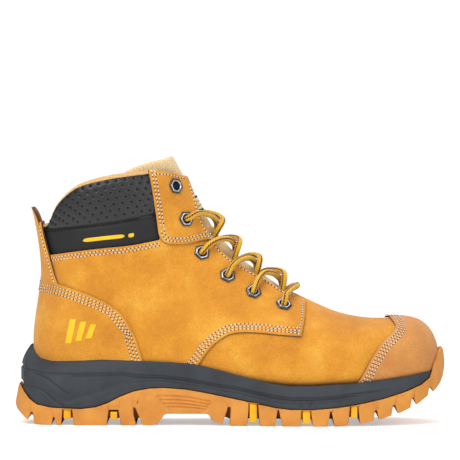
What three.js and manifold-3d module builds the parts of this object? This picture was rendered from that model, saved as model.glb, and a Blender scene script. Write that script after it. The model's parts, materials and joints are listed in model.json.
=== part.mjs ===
// A steel toe work boot, right foot, size EU 42/43.
// Millimetres. +X points to the toe, +Z up, and -Y is the outer side of the foot.
// The ground is Z = 0 and the origin lies under the middle of the boot.
//
// The upper is one smooth reference skin, the outer face of the quarter leather. Every leather,
// lining and stiffener is a layer between two depths of that skin, cut out by its side outline.
import * as THREE from "three";
import Module from "manifold-3d";

const wasm = await Module();
wasm.setup();
const { Manifold, Mesh, CrossSection } = wasm;

// ---- Driving sizes -------------------------------------------------------------------------

const LENGTH = 305.5; // heel lug to toe bumper
const WIDTH = 112; // across the ball of the sole
const HEIGHT = 189.4; // ground to the tip of the tongue

const GAP = 0.3; // between pieces that touch
const SEAM = 0.4; // between the two halves of the upper at the back seam
const LEATHER = 1.7; // quarters, vamp, toe guard and collar panels
const OVERLAY = 1.6; // heel guard, backstay and facing patches
const STAY = 1.6; // leather behind the eyelets
const TOECAP = 2.0; // steel toecap
const COUNTER = 2.0; // moulded heel stiffener
const LINING = 1.2;
const COLLAR_PADDING = 5.5;
const TAB_WIDTH = 30; // pull tab at the back

const PLATE = 1.0; // steel midsole
const BOARD = 1.7; // insole board
const FOOTBED = 5.0;
const FOOTBED_EASE = 3; // room between the removable footbed and the lining
const FOOTBED_TIP = 133; // where it ends in the toe, short of the lining
const BED = 1.9; // floor of the sole cup above the skin's lowest line

const TONGUE_THICK = 5.5;
const TONGUE_WING = 3.2; // thickness at its side edges
const LABEL = 0.8;

const LACE = 4.2; // diameter
const LACE_SIDES = 8;
const EYELET_FLATS = 10.3; // hexagonal flange, across its flats
const EYELET_HOLE = 6.2;
const EYELET_FLARE = 1.0; // how far the rim of the hole opens out
const EYELET_WALL = 0.5;
const EYELET_FLANGE = 1.2;
const WASHER = 11.0;
const WASHER_THICK = 0.6;
const AGLET = 18; // length

const TREAD = 4.6; // depth of the tread grooves
const INSERT_GROUND = 1.6; // the cushion inserts stay this far off the ground
const INSERT_SIDE = 2.5; // and this far inside the edge of the sole
const WEB = 1.4; // rubber left between an insert and the midsole

// ---- Layers, as depths of the skin: zero is the quarter's outer face, inwards is negative ---

const below = (top, thick) => ({ outer: top, inner: top - thick });
const quarterLayer = below(0, LEATHER);
const overlayLayer = { outer: GAP + OVERLAY, inner: GAP };
const vampLayer = below(quarterLayer.inner - GAP, LEATHER);
const stayLayer = below(quarterLayer.inner - GAP, STAY);
const toecapLayer = below(vampLayer.inner - GAP, TOECAP);
const counterLayer = below(vampLayer.inner - GAP, COUNTER);
const paddingLayer = below(vampLayer.inner - GAP, COLLAR_PADDING);
const collarLiningLayer = below(paddingLayer.inner - GAP, LINING);
const liningLayer = below(toecapLayer.inner - GAP, LINING);

// ---- The pattern: outlines drawn for a boot of this size, graded to the sizes above ---------

const PATTERN = { length: 305.5, width: 112, height: 189.4 };
const KX = LENGTH / PATTERN.length;
const KY = WIDTH / PATTERN.width;
const KZ = HEIGHT / PATTERN.height;

// Stations of the last. Each is a slice through a ridge point T and a sole or heel point B.
// full: where between B and T the slice is widest. low, up: how square it is below and above.
// taper: how far the upper part draws in.
const station = (tx, tz, bx, bz, half, centre, full, low, up, taper) =>
  ({ tx, tz, bx, bz, half, centre, full, low, up, taper });

const STATIONS = [
  station(149, 42.5, 149, 41.5, 0.5, 6, 0.4, 2, 2, 0),
  station(147.6, 55, 147.6, 32.5, 17, 6, 0.4, 2.2, 2.2, 0),
  station(143, 65.5, 143, 29.5, 28, 5.5, 0.38, 2.4, 2.2, 0),
  station(135.5, 72.4, 135.5, 27.3, 36.5, 5, 0.37, 2.7, 2.3, 0),
  station(125, 75.4, 125, 25.6, 42.5, 4.2, 0.36, 2.9, 2.3, 0),
  station(112, 75.9, 112, 24, 47, 3, 0.35, 3, 2.3, 0.02),
  station(96, 76.4, 96, 22.4, 50.5, 1.6, 0.34, 3.1, 2.3, 0.05),
  station(78, 80, 78, 21, 52.5, 0.3, 0.33, 3.2, 2.2, 0.12),
  station(60, 87.4, 60, 20.2, 53, -0.7, 0.32, 3.2, 2.1, 0.22),
  station(42, 96.5, 32, 20.8, 50.5, -1.8, 0.3, 3.2, 2, 0.32),
  station(26, 106, 2, 23, 44.5, -3, 0.28, 3.1, 2, 0.34),
  station(12.5, 115.5, -29, 27, 39.5, -3.2, 0.27, 3, 2, 0.3),
  station(3, 124, -59, 30.4, 37.2, -2, 0.27, 3, 2, 0.26),
  station(-3.5, 131, -88, 32.4, 36.6, -0.8, 0.3, 3, 2.1, 0.22),
  station(-8.2, 136.5, -112, 33.4, 36.4, 0, 0.34, 2.9, 2.1, 0.19),
  station(-11.6, 141.5, -128, 36, 36.2, 0, 0.38, 2.7, 2.1, 0.16),
  station(-14.2, 146, -136.3, 45, 36, 0, 0.42, 2.5, 2.2, 0.14),
  station(-17, 150.5, -138, 59, 36, 0, 0.45, 2.2, 2.2, 0.12),
  station(-20, 156, -136.8, 75, 36, 0, 0.46, 2.1, 2.2, 0.1),
  station(-23, 162, -134.6, 91, 36.2, 0, 0.47, 2, 2.2, 0.08),
  station(-26.5, 169, -132.8, 106, 36.8, 0, 0.48, 2, 2.2, 0.06),
  station(-30, 176, -133.6, 121, 37.6, 0, 0.48, 2, 2.2, 0.04),
  station(-34, 184, -135.8, 136, 38.6, 0, 0.48, 2, 2.2, 0.02),
  station(-38, 192, -138, 150, 39.4, 0, 0.48, 2, 2.2, 0),
  station(-41, 200, -139.5, 164, 40, 0, 0.48, 2, 2.2, 0),
];
const LAST_STATION = STATIONS.length - 1;

// Side outlines, [x, z] from heel to toe or from bottom to top.
const COLLAR_TOP = [[-132.5, 141.8], [-124.6, 156.1], [-116, 164.7], [-107.4, 170], [-90.2, 174.7],
  [-73, 177.6], [-57.3, 179.7]];
const COLLAR_LOW = [[-136, 117.5], [-126.2, 119.4], [-110.3, 121.9], [-90.2, 124.4], [-70.2, 126.4],
  [-49.4, 130.3]];
const FACING_EDGE = [[-31.5, 174], [-26.5, 161.1], [-20.8, 143.9], [-15, 133.9], [-9.3, 126.7],
  [-2.1, 118.9], [5, 113.8], [14.3, 108.1], [23.6, 103.1], [30.8, 98.5], [38, 94],
  [46.5, 91.6], [53.7, 87]];
const PATCH_TOP = [[-58, 179.7], [-44.4, 177.9], [-35.8, 175.4], [-31.5, 174]];
const PATCH_LOW = [[-55.4, 166.1], [-53, 151.1], [-50.6, 134.5], [-48.6, 130.2], [-44.9, 127.9],
  [-29.8, 127.9], [-11.7, 129.9]];
const HEEL_GUARD_EDGE = [[-146, 101.5], [-135.3, 101], [-122.4, 99.2], [-111, 95.9],
  [-101.7, 92.7], [-93.1, 89.1], [-83.8, 84.1], [-75.9, 77.3], [-70.2, 68.7], [-65.9, 60.1],
  [-61.6, 46.5], [-57, 30]];
const QUARTER_LOW = [[-33, 24], [-22.3, 43], [-18.5, 48.4], [-13.8, 54.6], [-7.6, 60.1],
  [0, 64.4], [8.6, 65.7], [20.3, 65.5], [32, 64.4], [50.1, 63.2]];
const QUARTER_FRONT = [[53, 77.3], [54.4, 87.4]];
const TOE_GUARD_EDGE = [[80, 18], [89.9, 30.2], [93.7, 36.2], [100.2, 48.3], [107.9, 59.3],
  [114.6, 65.2], [117.2, 70.2], [110, 76], [108, 84]];
const RIM = [[-140.7, 53.9], [-138.2, 48.7], [-134.4, 45.8], [-126, 44.5], [-103.1, 45.3],
  [-90.2, 46], [-60.9, 45.2], [-42.2, 44.5], [-28.6, 43.5], [-18.9, 41.9], [-2.9, 37.9],
  [12.9, 33.7], [28.6, 30.1], [41.5, 28.4], [58.7, 28.4], [89.5, 30.2], [113.1, 32.9],
  [129.6, 35.1], [143.5, 37.7]];
const HEEL_TAB = [[-147.5, 30], [-147.3, 45.5], [-145.4, 51], [-141.8, 56.6]];
const SOLE_LINE = [[-149, 28.6], [-146.1, 23.6], [-141.8, 18.3], [-136.5, 14.5], [-126, 12.5],
  [-105.3, 11.7], [-94.5, 13], [-85.9, 16.1], [-77.7, 20.3], [-68.2, 24], [-57.7, 26.1],
  [-47.3, 26.6], [-31.5, 25.6], [-15.8, 22.9], [7.2, 18.3], [31.2, 13.2], [42.2, 11.9],
  [58.7, 11.9], [75.2, 13.2], [91.6, 15.8], [108.1, 19.3], [124.6, 24.2], [135.3, 28.6],
  [141.1, 32.9], [143.5, 37.7]];
const BUMPER = [[144.5, 53.6], [150.4, 53.6], [152.3, 49.4], [152.7, 37.4], [149.6, 28.6],
  [145.7, 24.2], [141.3, 23.2]];
const GROUND = [[132, 14.6], [120, 9.2], [104.5, 4.6], [91.6, 1.9], [73.7, 0], [-1, 0], [-13.6, 4],
  [-16.8, 9.2], [-46.2, 9.2], [-49, 3], [-56.6, 0], [-136.8, 0], [-143.9, 3.5], [-152.8, 12.9]];
const HEEL_BACK = [[-151.2, 18.3], [-149, 28.6]];

// Plan outlines of the sole, [x, y], from the heel along the outer side and back.
const SOLE_PLAN = [[-152.8, 0], [-149, -18], [-139, -31], [-121, -39.5], [-100, -42], [-75, -42],
  [-45, -42], [-15, -45], [15, -50], [40, -54.5], [62, -56], [85, -54.5], [108, -49], [128, -39.5],
  [142, -26], [150, -9], [152.7, 6], [150, 22], [141, 37], [127, 47], [108, 53.5], [85, 56],
  [62, 55.5], [40, 51], [15, 44], [-10, 39.5], [-40, 37.5], [-70, 38.5], [-95, 40.5],
  [-121, 38.5], [-139, 30], [-149, 17]];
const MIDSOLE_INSET = 0.9; // the midsole stands this far inside the outsole

// Eyelets on each side, [x, z], the empty top one first.
const EYELETS = [[-39.7, 167.9], [-32.2, 144.6], [-20, 121], [-1.8, 104.9], [16.5, 93.4],
  [37.9, 84.6]];
const PATCH_EYELETS = 2; // the first two go through the facing patch as well

// Yellow cushion inserts across the tread, [x of the back face, x of the front face].
const INSERTS = [[-117.4, -111.6], [-84.8, -78.6], [13.4, 19.2], [50.4, 56.6], [84, 89.6]];
// Grooves across the tread, [x, width].
const GROOVES = [[-141.2, 3], [-100.5, 3], [-64.4, 3.4], [-1.5, 3.4], [33.5, 3], [70.3, 3],
  [102.4, 2.8], [116.5, 2.8], [130.5, 2.8]];

// ---- Shaping tools --------------------------------------------------------------------------

const mix = (a, b, t) => a + (b - a) * t;
const gradeSide = ([x, z]) => [x * KX, z * KZ];
const gradePlan = ([x, y]) => [x * KX, y * KY];
const shift = (line, dx, dz) => line.map(([x, z]) => [x + dx, z + dz]);
const backwards = (line) => [...line].reverse();

// A line that runs down and forward, moved square to itself, away from the ridge.
function movedBack(line, distance) {
  return line.map(([x, z], i) => {
    const before = line[Math.max(i - 1, 0)];
    const after = line[Math.min(i + 1, line.length - 1)];
    const run = Math.hypot(after[0] - before[0], after[1] - before[1]);
    return [x + ((after[1] - before[1]) / run) * distance,
      z - ((after[0] - before[0]) / run) * distance];
  });
}

// A smooth value between numbered rows: Catmull-Rom through four of them.
function smoothBetween(rows, key, u) {
  const i = Math.min(Math.max(Math.floor(u), 0), rows.length - 2);
  const t = u - i;
  const b = rows[i][key];
  const c = rows[i + 1][key];
  const a = i > 0 ? rows[i - 1][key] : 2 * b - c;
  const d = i + 2 < rows.length ? rows[i + 2][key] : 2 * c - b;
  const bend = 2 * a - 5 * b + 4 * c - d + (3 * b - a - 3 * c + d) * t;
  return b + 0.5 * t * (c - a + t * bend);
}

function stationAt(u) {
  const s = {};
  for (const key of Object.keys(STATIONS[0])) s[key] = smoothBetween(STATIONS, key, u);
  return s;
}

// A point of the skin. Angle 0 is the sole or heel line, a quarter turn the outer side, half a
// turn the ridge and three quarters the inner side.
function skinPoint(u, angle) {
  const s = stationAt(u);
  const c = Math.cos(angle);
  const k = Math.sin(angle);
  const power = c > 0 ? s.low : s.up;
  const r = (Math.abs(c) ** power + Math.abs(k) ** power) ** (-1 / power);
  const along = r * c;
  const across = r * k;
  const t = along > 0 ? s.full * (1 - along) : mix(s.full, 1, -along);
  const narrow = along < 0 ? 1 - s.taper * along * along : 1;
  return new THREE.Vector3(
    mix(s.bx, s.tx, t) * KX,
    (s.centre - s.half * across * narrow) * KY,
    mix(s.bz, s.tz, t) * KZ,
  );
}

function skinNormal(u, angle) {
  const step = 0.02;
  const low = Math.max(u - step, 0.2);
  const high = Math.min(u + step, LAST_STATION);
  const alongU = skinPoint(high, angle).sub(skinPoint(low, angle));
  const around = skinPoint(u, angle + step).sub(skinPoint(u, angle - step));
  return alongU.cross(around).normalize().negate();
}

// The skin moved out by depth, along its own normal.
const skin = (u, angle, depth) =>
  skinPoint(u, angle).addScaledVector(skinNormal(u, angle), depth);

const ANGLES = 20;
const ROWS = STATIONS.map((_, i) => i).slice(1);

function solidFrom(points, faces) {
  const vertProperties = new Float32Array(points.flatMap((p) => [p.x, p.y, p.z]));
  const triVerts = new Uint32Array(faces.flat());
  return new Manifold(new Mesh({ numProp: 3, vertProperties, triVerts }));
}

// Everything inside the skin at one depth, as a closed body. Kept, because many layers share it.
const bodies = new Map();
function body(depth) {
  const key = depth.toFixed(3);
  if (bodies.has(key)) return bodies.get(key);
  const toe = stationAt(0);
  const points = [new THREE.Vector3(toe.tx * KX + depth, toe.centre * KY, toe.tz * KZ)];
  for (const u of ROWS) {
    for (let j = 0; j < ANGLES; j++) points.push(skin(u, (2 * Math.PI * j) / ANGLES, depth));
  }
  const cap = stationAt(LAST_STATION);
  points.push(new THREE.Vector3(
    mix(cap.bx, cap.tx, 0.5) * KX, cap.centre * KY, mix(cap.bz, cap.tz, 0.5) * KZ));
  const at = (row, j) => 1 + row * ANGLES + (j % ANGLES);
  const faces = [];
  const top = points.length - 1;
  for (let j = 0; j < ANGLES; j++) {
    faces.push([0, at(0, j + 1), at(0, j)]);
    faces.push([top, at(ROWS.length - 1, j), at(ROWS.length - 1, j + 1)]);
    for (let row = 0; row + 1 < ROWS.length; row++) {
      faces.push([at(row, j), at(row + 1, j + 1), at(row + 1, j)]);
      faces.push([at(row, j), at(row, j + 1), at(row + 1, j + 1)]);
    }
  }
  const made = solidFrom(points, faces);
  bodies.set(key, made);
  return made;
}

// A side outline made a solid right across the boot, or across one side of it.
const ACROSS = 90;
function prism(outline, from = -ACROSS, to = ACROSS) {
  const section = new CrossSection([outline.map(gradeSide)], "EvenOdd");
  return section.extrude(to - from).rotate([90, 0, 0]).translate([0, to, 0]);
}
// The largest piece of a cut, without the slivers that curved cuts leave at an edge.
const mainBody = (solid) =>
  solid.decompose().reduce((best, piece) => (piece.volume() > best.volume() ? piece : best));
const outerSide = (outline) => prism(outline, -ACROSS, -SEAM / 2);
const innerSide = (outline) => prism(outline, SEAM / 2, ACROSS);

const layer = ({ outer, inner }) => body(outer).subtract(body(inner));

// The skin's lowest line, raised: where the layers of the insole lie.
const SOLE_ROWS = STATIONS.slice(1, 17);
const bottomLine = (rise) => SOLE_ROWS.map((s) => [s.bx, s.bz + rise / KZ]);
const bandAbove = (low, high) => prism([...bottomLine(low), ...backwards(bottomLine(high))]);
const everythingAbove = (rise) =>
  prism([[170, 30], ...bottomLine(rise), [-170, 50], [-170, 260], [170, 260]]);

const plateRise = { low: BED + GAP, high: BED + GAP + PLATE };
const boardRise = { low: plateRise.high + GAP, high: plateRise.high + GAP + BOARD };
const aboveBoard = everythingAbove(boardRise.high + GAP);
// The lining runs on under the foot, and the footbed lies on it.
const footbedRise = { low: GAP - liningLayer.inner, high: GAP - liningLayer.inner + FOOTBED };

// ---- Eyelets: where they sit, and their pieces ----------------------------------------------

// The place on the skin whose side view is [x, z], found by Newton's method.
function locate([x, z], outerFacing) {
  const [gx, gz] = gradeSide([x, z]);
  let u = 15;
  let angle = outerFacing ? 2.2 : 2 * Math.PI - 2.2;
  const step = 1e-4;
  for (let i = 0; i < 40; i++) {
    const here = skinPoint(u, angle);
    const du = skinPoint(u + step, angle).sub(here).divideScalar(step);
    const da = skinPoint(u, angle + step).sub(here).divideScalar(step);
    const ex = gx - here.x;
    const ez = gz - here.z;
    const det = du.x * da.z - da.x * du.z;
    const stepU = (ex * da.z - da.x * ez) / det;
    const stepA = (du.x * ez - ex * du.z) / det;
    u = Math.min(Math.max(u + Math.max(Math.min(stepU, 1), -1), 1), LAST_STATION - 0.5);
    angle += Math.max(Math.min(stepA, 0.15), -0.15);
  }
  return { u, angle };
}

const SIDES = [{ name: "outer", faces: true }, { name: "inner", faces: false }];
const lacing = { outer: [], inner: [] };
for (const side of SIDES) {
  EYELETS.forEach((place, i) => {
    const { u, angle } = locate(place, side.faces);
    const normal = skinNormal(u, angle);
    const toRidge = skinPoint(u, angle + (side.faces ? 0.05 : -0.05)).sub(skinPoint(u, angle));
    toRidge.addScaledVector(normal, -toRidge.dot(normal)).normalize();
    const top = i < PATCH_EYELETS ? overlayLayer.outer : quarterLayer.outer;
    lacing[side.name].push({ u, angle, normal, toRidge, top, centre: skinPoint(u, angle) });
  });
}

// A solid made along its own Z axis, stood on the skin at an eyelet.
function stand(solid, hole) {
  const along = hole.normal;
  const x = hole.toRidge;
  const y = new THREE.Vector3().crossVectors(along, x);
  const m = new THREE.Matrix4().makeBasis(x, y, along).setPosition(hole.centre);
  return solid.transform(m.elements);
}

const ROUND = 12;
const seat = GAP + 0.2; // under the flange, and more inside, because the leather curves
const WASHER_SEAT = 1;
const flangeTop = (hole) => hole.top + seat + EYELET_FLANGE;
const barrelEnd = stayLayer.inner - 0.7;
const barrelRadius = EYELET_HOLE / 2 + EYELET_WALL;

const column = (from, to, radius, radiusTop = radius) =>
  Manifold.cylinder(to - from, radius, radiusTop, ROUND).translate([0, 0, from]);

function eyelet(hole) {
  const top = flangeTop(hole);
  const corner = EYELET_FLATS / 2 / Math.cos(Math.PI / 6);
  const flange = Manifold.cylinder(EYELET_FLANGE, corner, corner - 0.5, 6)
    .translate([0, 0, top - EYELET_FLANGE]);
  const barrel = column(barrelEnd, top - EYELET_FLANGE / 2, barrelRadius);
  const hollow = column(barrelEnd - 1, top + 1, EYELET_HOLE / 2);
  const flare = column(top - EYELET_FLARE, top + 0.01, EYELET_HOLE / 2, EYELET_HOLE / 2 + 1);
  return stand(flange.add(barrel).subtract(hollow).subtract(flare), hole);
}

function washer(hole) {
  const outer = stayLayer.inner - WASHER_SEAT;
  const ring = column(outer - WASHER_THICK, outer, WASHER / 2);
  return stand(ring.subtract(column(outer - 2, outer + 1, barrelRadius + GAP)), hole);
}

// The holes that the barrels pass through, for every layer of leather.
const holes = Manifold.union(
  SIDES.flatMap((side) =>
    lacing[side.name].map((hole) => stand(column(-9, 6, barrelRadius + GAP), hole))));

// ---- Upper ----------------------------------------------------------------------------------

const LAP = 11; // how far the vamp runs under the quarters
const FRONT = 160;
const TOP = 240;

function quarterOutline() {
  const underPatch = [[-49.5, 140], [-52, 160], [-54.5, 176.5], [-33.2, 172.6]];
  return [[-160, 24], ...QUARTER_LOW, ...QUARTER_FRONT, ...backwards(FACING_EDGE).slice(0, -1),
    ...backwards(underPatch), ...backwards(COLLAR_LOW), [-160, 117]];
}

function collarOutline() {
  const low = shift(COLLAR_LOW, 0, -9);
  return [...low.slice(0, -1), [-52, 121], [-47, 129], [-46, 150], [-48.4, 165], [-50, 176],
    ...backwards(COLLAR_TOP), [-160, 118]];
}

function paddingOutline(drop) {
  return [[-160, 119], ...shift(COLLAR_LOW, 0, -2).slice(0, -1), [-62, 127], [-62, 174],
    ...backwards(shift(COLLAR_TOP, 0, -drop)).slice(1), [-160, 119]];
}

const patchOutline = () =>
  [...backwards(PATCH_TOP), ...PATCH_LOW, ...backwards(FACING_EDGE.slice(0, 4))];

// The vamp and the stays share the depth under the quarters, so each has its own outline.
const VAMP_BACK = [[-40, 24], [-33, 43], [-27, 55], [-18, 66], [-5, 73], [10, 75], [36, 73],
  [47, 80], [47.5, 110]];
const STAY_BACK = [[46.6, 86], [43.5, 81.5], [36, 76], [22, 79], [0, 90], [-22, 105], [-38, 124],
  [-42.5, 140], [-46.8, 165], [-48.4, 175]];

const vampOutline = () => [...VAMP_BACK, [FRONT, 110], [FRONT, 10], [-40, 10]];
// The stays' front edge is drawn further back than the facing's, because they lie deeper.
const stayOutline = () =>
  [...STAY_BACK, [-37, 172], ...movedBack(FACING_EDGE.slice(1, -2), 1 - stayLayer.inner)];

const heelGuardOutline = () => [...HEEL_GUARD_EDGE, [-160, 20], [-160, 101.5]];
const toeGuardOutline = () => [...TOE_GUARD_EDGE, [FRONT, 84], [FRONT, 18]];
const toecapOutline = () => [[92.5, 18], [92.5, 90], [FRONT, 90], [FRONT, 18]];
const stripOutline = () => [[86, 16], [86, 90], [92.5 - GAP, 90], [92.5 - GAP, 16]];
const counterOutline = () => [[-160, 92], [-128, 90], [-100, 84], [-84, 70], [-76, 24], [-160, 24]];

const LINING_FRONT = [[-51, 117], [-46, 110], [-34, 98], [-12, 86], [14, 74], [40, 67], [60, 64],
  [63, 76], [63, 100]];
const quarterLiningOutline = () =>
  [[-160, 110], [-126, 112], [-90, 115], ...LINING_FRONT.slice(0, -2), [63, 10], [-160, 10]];
const vampLiningOutline = () => [[63.5, 10], [63.5, 110], [FRONT, 110], [FRONT, 10]];

const backstayOutline = () =>
  [[-160, 102], [-135.6, 102], [-122.2, 100.2], [-127.4, 119.6], [-131.4, 134.6], [-132.5, 142.6],
    [-160, 142.6]];
const tabOutline = () =>
  [[-160, 143.2], [-131.2, 143.2], [-130, 145], [-130.5, 148.5], [-139.9, 153], [-160, 153]];

const SMOOTHING = 0.04; // faces this near to flat are joined
const upperLayer = (depths, region) =>
  layer(depths).intersect(region).intersect(aboveBoard).simplify(SMOOTHING);

function upper() {
  const made = {};
  for (const side of SIDES) {
    const half = side.faces ? outerSide : innerSide;
    made["quarter_" + side.name] =
      upperLayer(quarterLayer, half(quarterOutline())).subtract(holes);
    made["collar_" + side.name] = upperLayer(vampLayer, half(collarOutline()));
    made["facing_patch_" + side.name] =
      upperLayer(overlayLayer, half(patchOutline())).subtract(holes);
    made["eyelet_stay_" + side.name] = upperLayer(stayLayer, half(stayOutline())).subtract(holes);
  }
  made.vamp = upperLayer(vampLayer, prism(vampOutline()));
  made.toe_guard = upperLayer(quarterLayer, prism(toeGuardOutline()));
  made.heel_guard = upperLayer(overlayLayer, prism(heelGuardOutline()));
  made.backstay = upperLayer(overlayLayer, prism(backstayOutline()));
  const tabWidth = Manifold.cube([ACROSS, TAB_WIDTH, HEIGHT], true)
    .translate([-LENGTH / 2, 0, HEIGHT / 2]);
  made.pull_tab = upperLayer(overlayLayer, prism(tabOutline()).intersect(tabWidth));
  made.steel_toecap = upperLayer(toecapLayer, prism(toecapOutline()));
  made.toecap_edge_strip = upperLayer(toecapLayer, prism(stripOutline()));
  made.heel_counter = upperLayer(counterLayer, prism(counterOutline()));
  made.collar_padding = upperLayer(paddingLayer, prism(paddingOutline(2.5)));
  made.collar_lining = upperLayer(collarLiningLayer, prism(paddingOutline(0.3)));
  made.vamp_lining = upperLayer(liningLayer, prism(vampLiningOutline()));
  made.quarter_lining = upperLayer(liningLayer, prism(quarterLiningOutline()));
  return made;
}

// ---- Tongue ---------------------------------------------------------------------------------

const RIDGE = Math.PI;
const degrees = (d) => (d * Math.PI) / 180;
const smooth = (t) => {
  const k = Math.min(Math.max(t, 0), 1);
  return k * k * (3 - 2 * k);
};

// Side outline of the tongue: over its top from the front, then down the edge of its wings.
const TONGUE_OUTLINE = [[60, 60], [60, 110], [0, 150], [-25, 175], [-33, 176.2], [-37.2, 183.3],
  [-40.1, 187.6], [-43, 189.1], [-47.3, 189.4], [-55.8, 186.2], [-64.4, 182.6], [-73, 179],
  [-69, 171], [-53, 160], [-42, 150], [-36, 142], [-29.5, 130], [-22, 121], [-12, 112], [2, 101],
  [15, 93], [30, 84], [44, 77]];
const TONGUE_BASE = 8; // station where the tongue starts, under the vamp
const TONGUE_RIDGE_DEPTH = -1.9;
const TONGUE_BASE_DEPTH = vampLayer.inner - 1.4;
const TONGUE_TOP_DEPTH = -3.2;
const LACE_UNDER = -7.7; // depth of the lace's middle line where it runs under a facing
const WING_DEPTH = LACE_UNDER - LACE / 2 - GAP - 0.5;
const WING_TOP_DEPTH = collarLiningLayer.inner - 1;

function tongueOuter(u, angle) {
  const base = smooth((10 - u) / 1.8);
  const top = smooth((u - 19) / 3.5);
  const ridge = TONGUE_RIDGE_DEPTH + base * (TONGUE_BASE_DEPTH - TONGUE_RIDGE_DEPTH)
    + top * (TONGUE_TOP_DEPTH - TONGUE_RIDGE_DEPTH);
  const wing = mix(WING_DEPTH, WING_TOP_DEPTH, smooth((u - 18.5) / 1.5));
  return mix(ridge, wing, smooth(Math.abs(angle - RIDGE) / edgeAngle(u)));
}

function tongueThickness(angle) {
  return mix(TONGUE_THICK, TONGUE_WING, smooth(Math.abs(angle - RIDGE) / degrees(45)));
}

// A closed slab between two depths that vary over a patch of the skin.
function slab(us, angles, outer, inner) {
  const points = [];
  for (const depth of [outer, inner]) {
    for (const u of us) for (const angle of angles) points.push(skin(u, angle, depth(u, angle)));
  }
  const [rows, columns] = [us.length, angles.length];
  const at = (face, i, j) => (face * rows + i) * columns + j;
  const faces = [];
  const quad = (a, b, c, d) => faces.push([a, b, c], [a, c, d]);
  for (let i = 0; i + 1 < rows; i++) {
    for (let j = 0; j + 1 < columns; j++) {
      quad(at(0, i, j), at(0, i, j + 1), at(0, i + 1, j + 1), at(0, i + 1, j));
      quad(at(1, i, j), at(1, i + 1, j), at(1, i + 1, j + 1), at(1, i, j + 1));
    }
    quad(at(0, i, 0), at(0, i + 1, 0), at(1, i + 1, 0), at(1, i, 0));
    quad(at(0, i + 1, columns - 1), at(0, i, columns - 1), at(1, i, columns - 1),
      at(1, i + 1, columns - 1));
  }
  for (let j = 0; j + 1 < columns; j++) {
    quad(at(0, 0, j + 1), at(0, 0, j), at(1, 0, j), at(1, 0, j + 1));
    quad(at(0, rows - 1, j), at(0, rows - 1, j + 1), at(1, rows - 1, j + 1), at(1, rows - 1, j));
  }
  return solidFrom(points, faces);
}

const evenly = (from, to, count) =>
  Array.from({ length: count + 1 }, (_, i) => mix(from, to, i / count));

function tongue() {
  const us = evenly(TONGUE_BASE, LAST_STATION - 0.5, 18);
  const angles = [-75, -60, -46, -34, -24, -15, -7, 0, 7, 15, 24, 34, 46, 60, 75]
    .map((a) => RIDGE + degrees(a));
  const inner = (u, angle) => tongueOuter(u, angle) - tongueThickness(angle);
  return slab(us, angles, tongueOuter, inner).intersect(prism(TONGUE_OUTLINE));
}

function tongueLabel() {
  const us = evenly(17.2, 19, 2);
  const angles = [-14, -7, 0, 7, 14].map((a) => RIDGE + degrees(a));
  const lift = GAP + 0.1;
  return slab(us, angles, (u, a) => tongueOuter(u, a) + lift + LABEL,
    (u, a) => tongueOuter(u, a) + lift);
}

// ---- Lace -----------------------------------------------------------------------------------

// The lace turns back through an eyelet on a half circle, from under the facing to over it.
const overDepth = (hole) => flangeTop(hole) + LACE / 2 + 0.85;
const besideHole = (hole, toRidge, depth) =>
  hole.centre.clone().addScaledVector(hole.toRidge, toRidge).addScaledVector(hole.normal, depth);

function turn(hole) {
  const radius = (overDepth(hole) - LACE_UNDER) / 2;
  const middle = (overDepth(hole) + LACE_UNDER) / 2;
  const reach = radius - 0.45;
  return evenly(-90, 90, 6).map((a) => besideHole(
    hole, reach - radius * Math.cos(degrees(a)), middle + radius * Math.sin(degrees(a))));
}

// How far round from the ridge the facing's edge lies at a station, found by halving.
function edgeAngle(u) {
  let [open, covered] = [0, degrees(60)];
  for (let i = 0; i < 30; i++) {
    const middle = (open + covered) / 2;
    const { x, z } = skinPoint(u, RIDGE + middle);
    if (z / KZ > heightOn(FACING_EDGE, x / KX)) open = middle;
    else covered = middle;
  }
  return open;
}

// The route over the tongue from one eyelet to the next one down on the other side: share of the
// way from the ridge to the facing's edge, share of the way to the next eyelet, and depths of the
// strand that lies underneath at the crossing and of the one that lies over it.
const CROSSING = [[1.04, 0.12, 4.7, 4.9], [0.5, 0.42, 3.6, 5.9], [0, 0.7, 1.9, 6.7],
  [-0.25, 0.79, 1.1, 5.7], [-0.44, 0.87, -0.8, 2.5], [-0.64, 0.95, -4, -3.1], [-0.93, 1, -7.2, -7.2]];
function crossing(from, to, away, isOver) {
  return CROSSING.map(([round, share, under, over]) => {
    const u = mix(from.u, to.u, share);
    return skin(u, RIDGE + away * round * edgeAngle(u), isOver ? over : under);
  });
}

// The straight run across the lowest pair of eyelets: degrees from the ridge, station, depth.
const BAR = [[24, 8.96, 4.9], [12, 8.8, 4], [0, 8.76, 3.6], [-12, 8.8, 4], [-24, 8.96, 4.9]];

// An end, from the second eyelet into the boot: beside the hole, then down inside the shaft.
const END_IN_HOLE = [[5.4, 6.7], [2.6, 6], [0.9, 3.9], [0.2, 1.5], [-0.1, -1.5], [-0.6, -4.8],
  [-1.9, -6.6], [-4.4, -7.7], [-8.6, -8]];
const END_INSIDE = [[-45.5, 143.5, -9.8], [-52, 139.5, -13.8], [-59, 131, -15.2],
  [-64, 118, -15.2], [-67, 104, -14.8], [-69, 92, -14.4], [-70.5, 82.5, -14.2]];

function laceEnd(side) {
  const hole = lacing[side.name][1];
  const inHole = END_IN_HOLE.map(([away, depth]) => besideHole(hole, away, depth));
  const inside = END_INSIDE.map(([x, z, depth]) => {
    const { u, angle } = locate([x, z], side.faces);
    return skin(u, angle, depth);
  });
  return [...inHole, ...inside];
}

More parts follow.
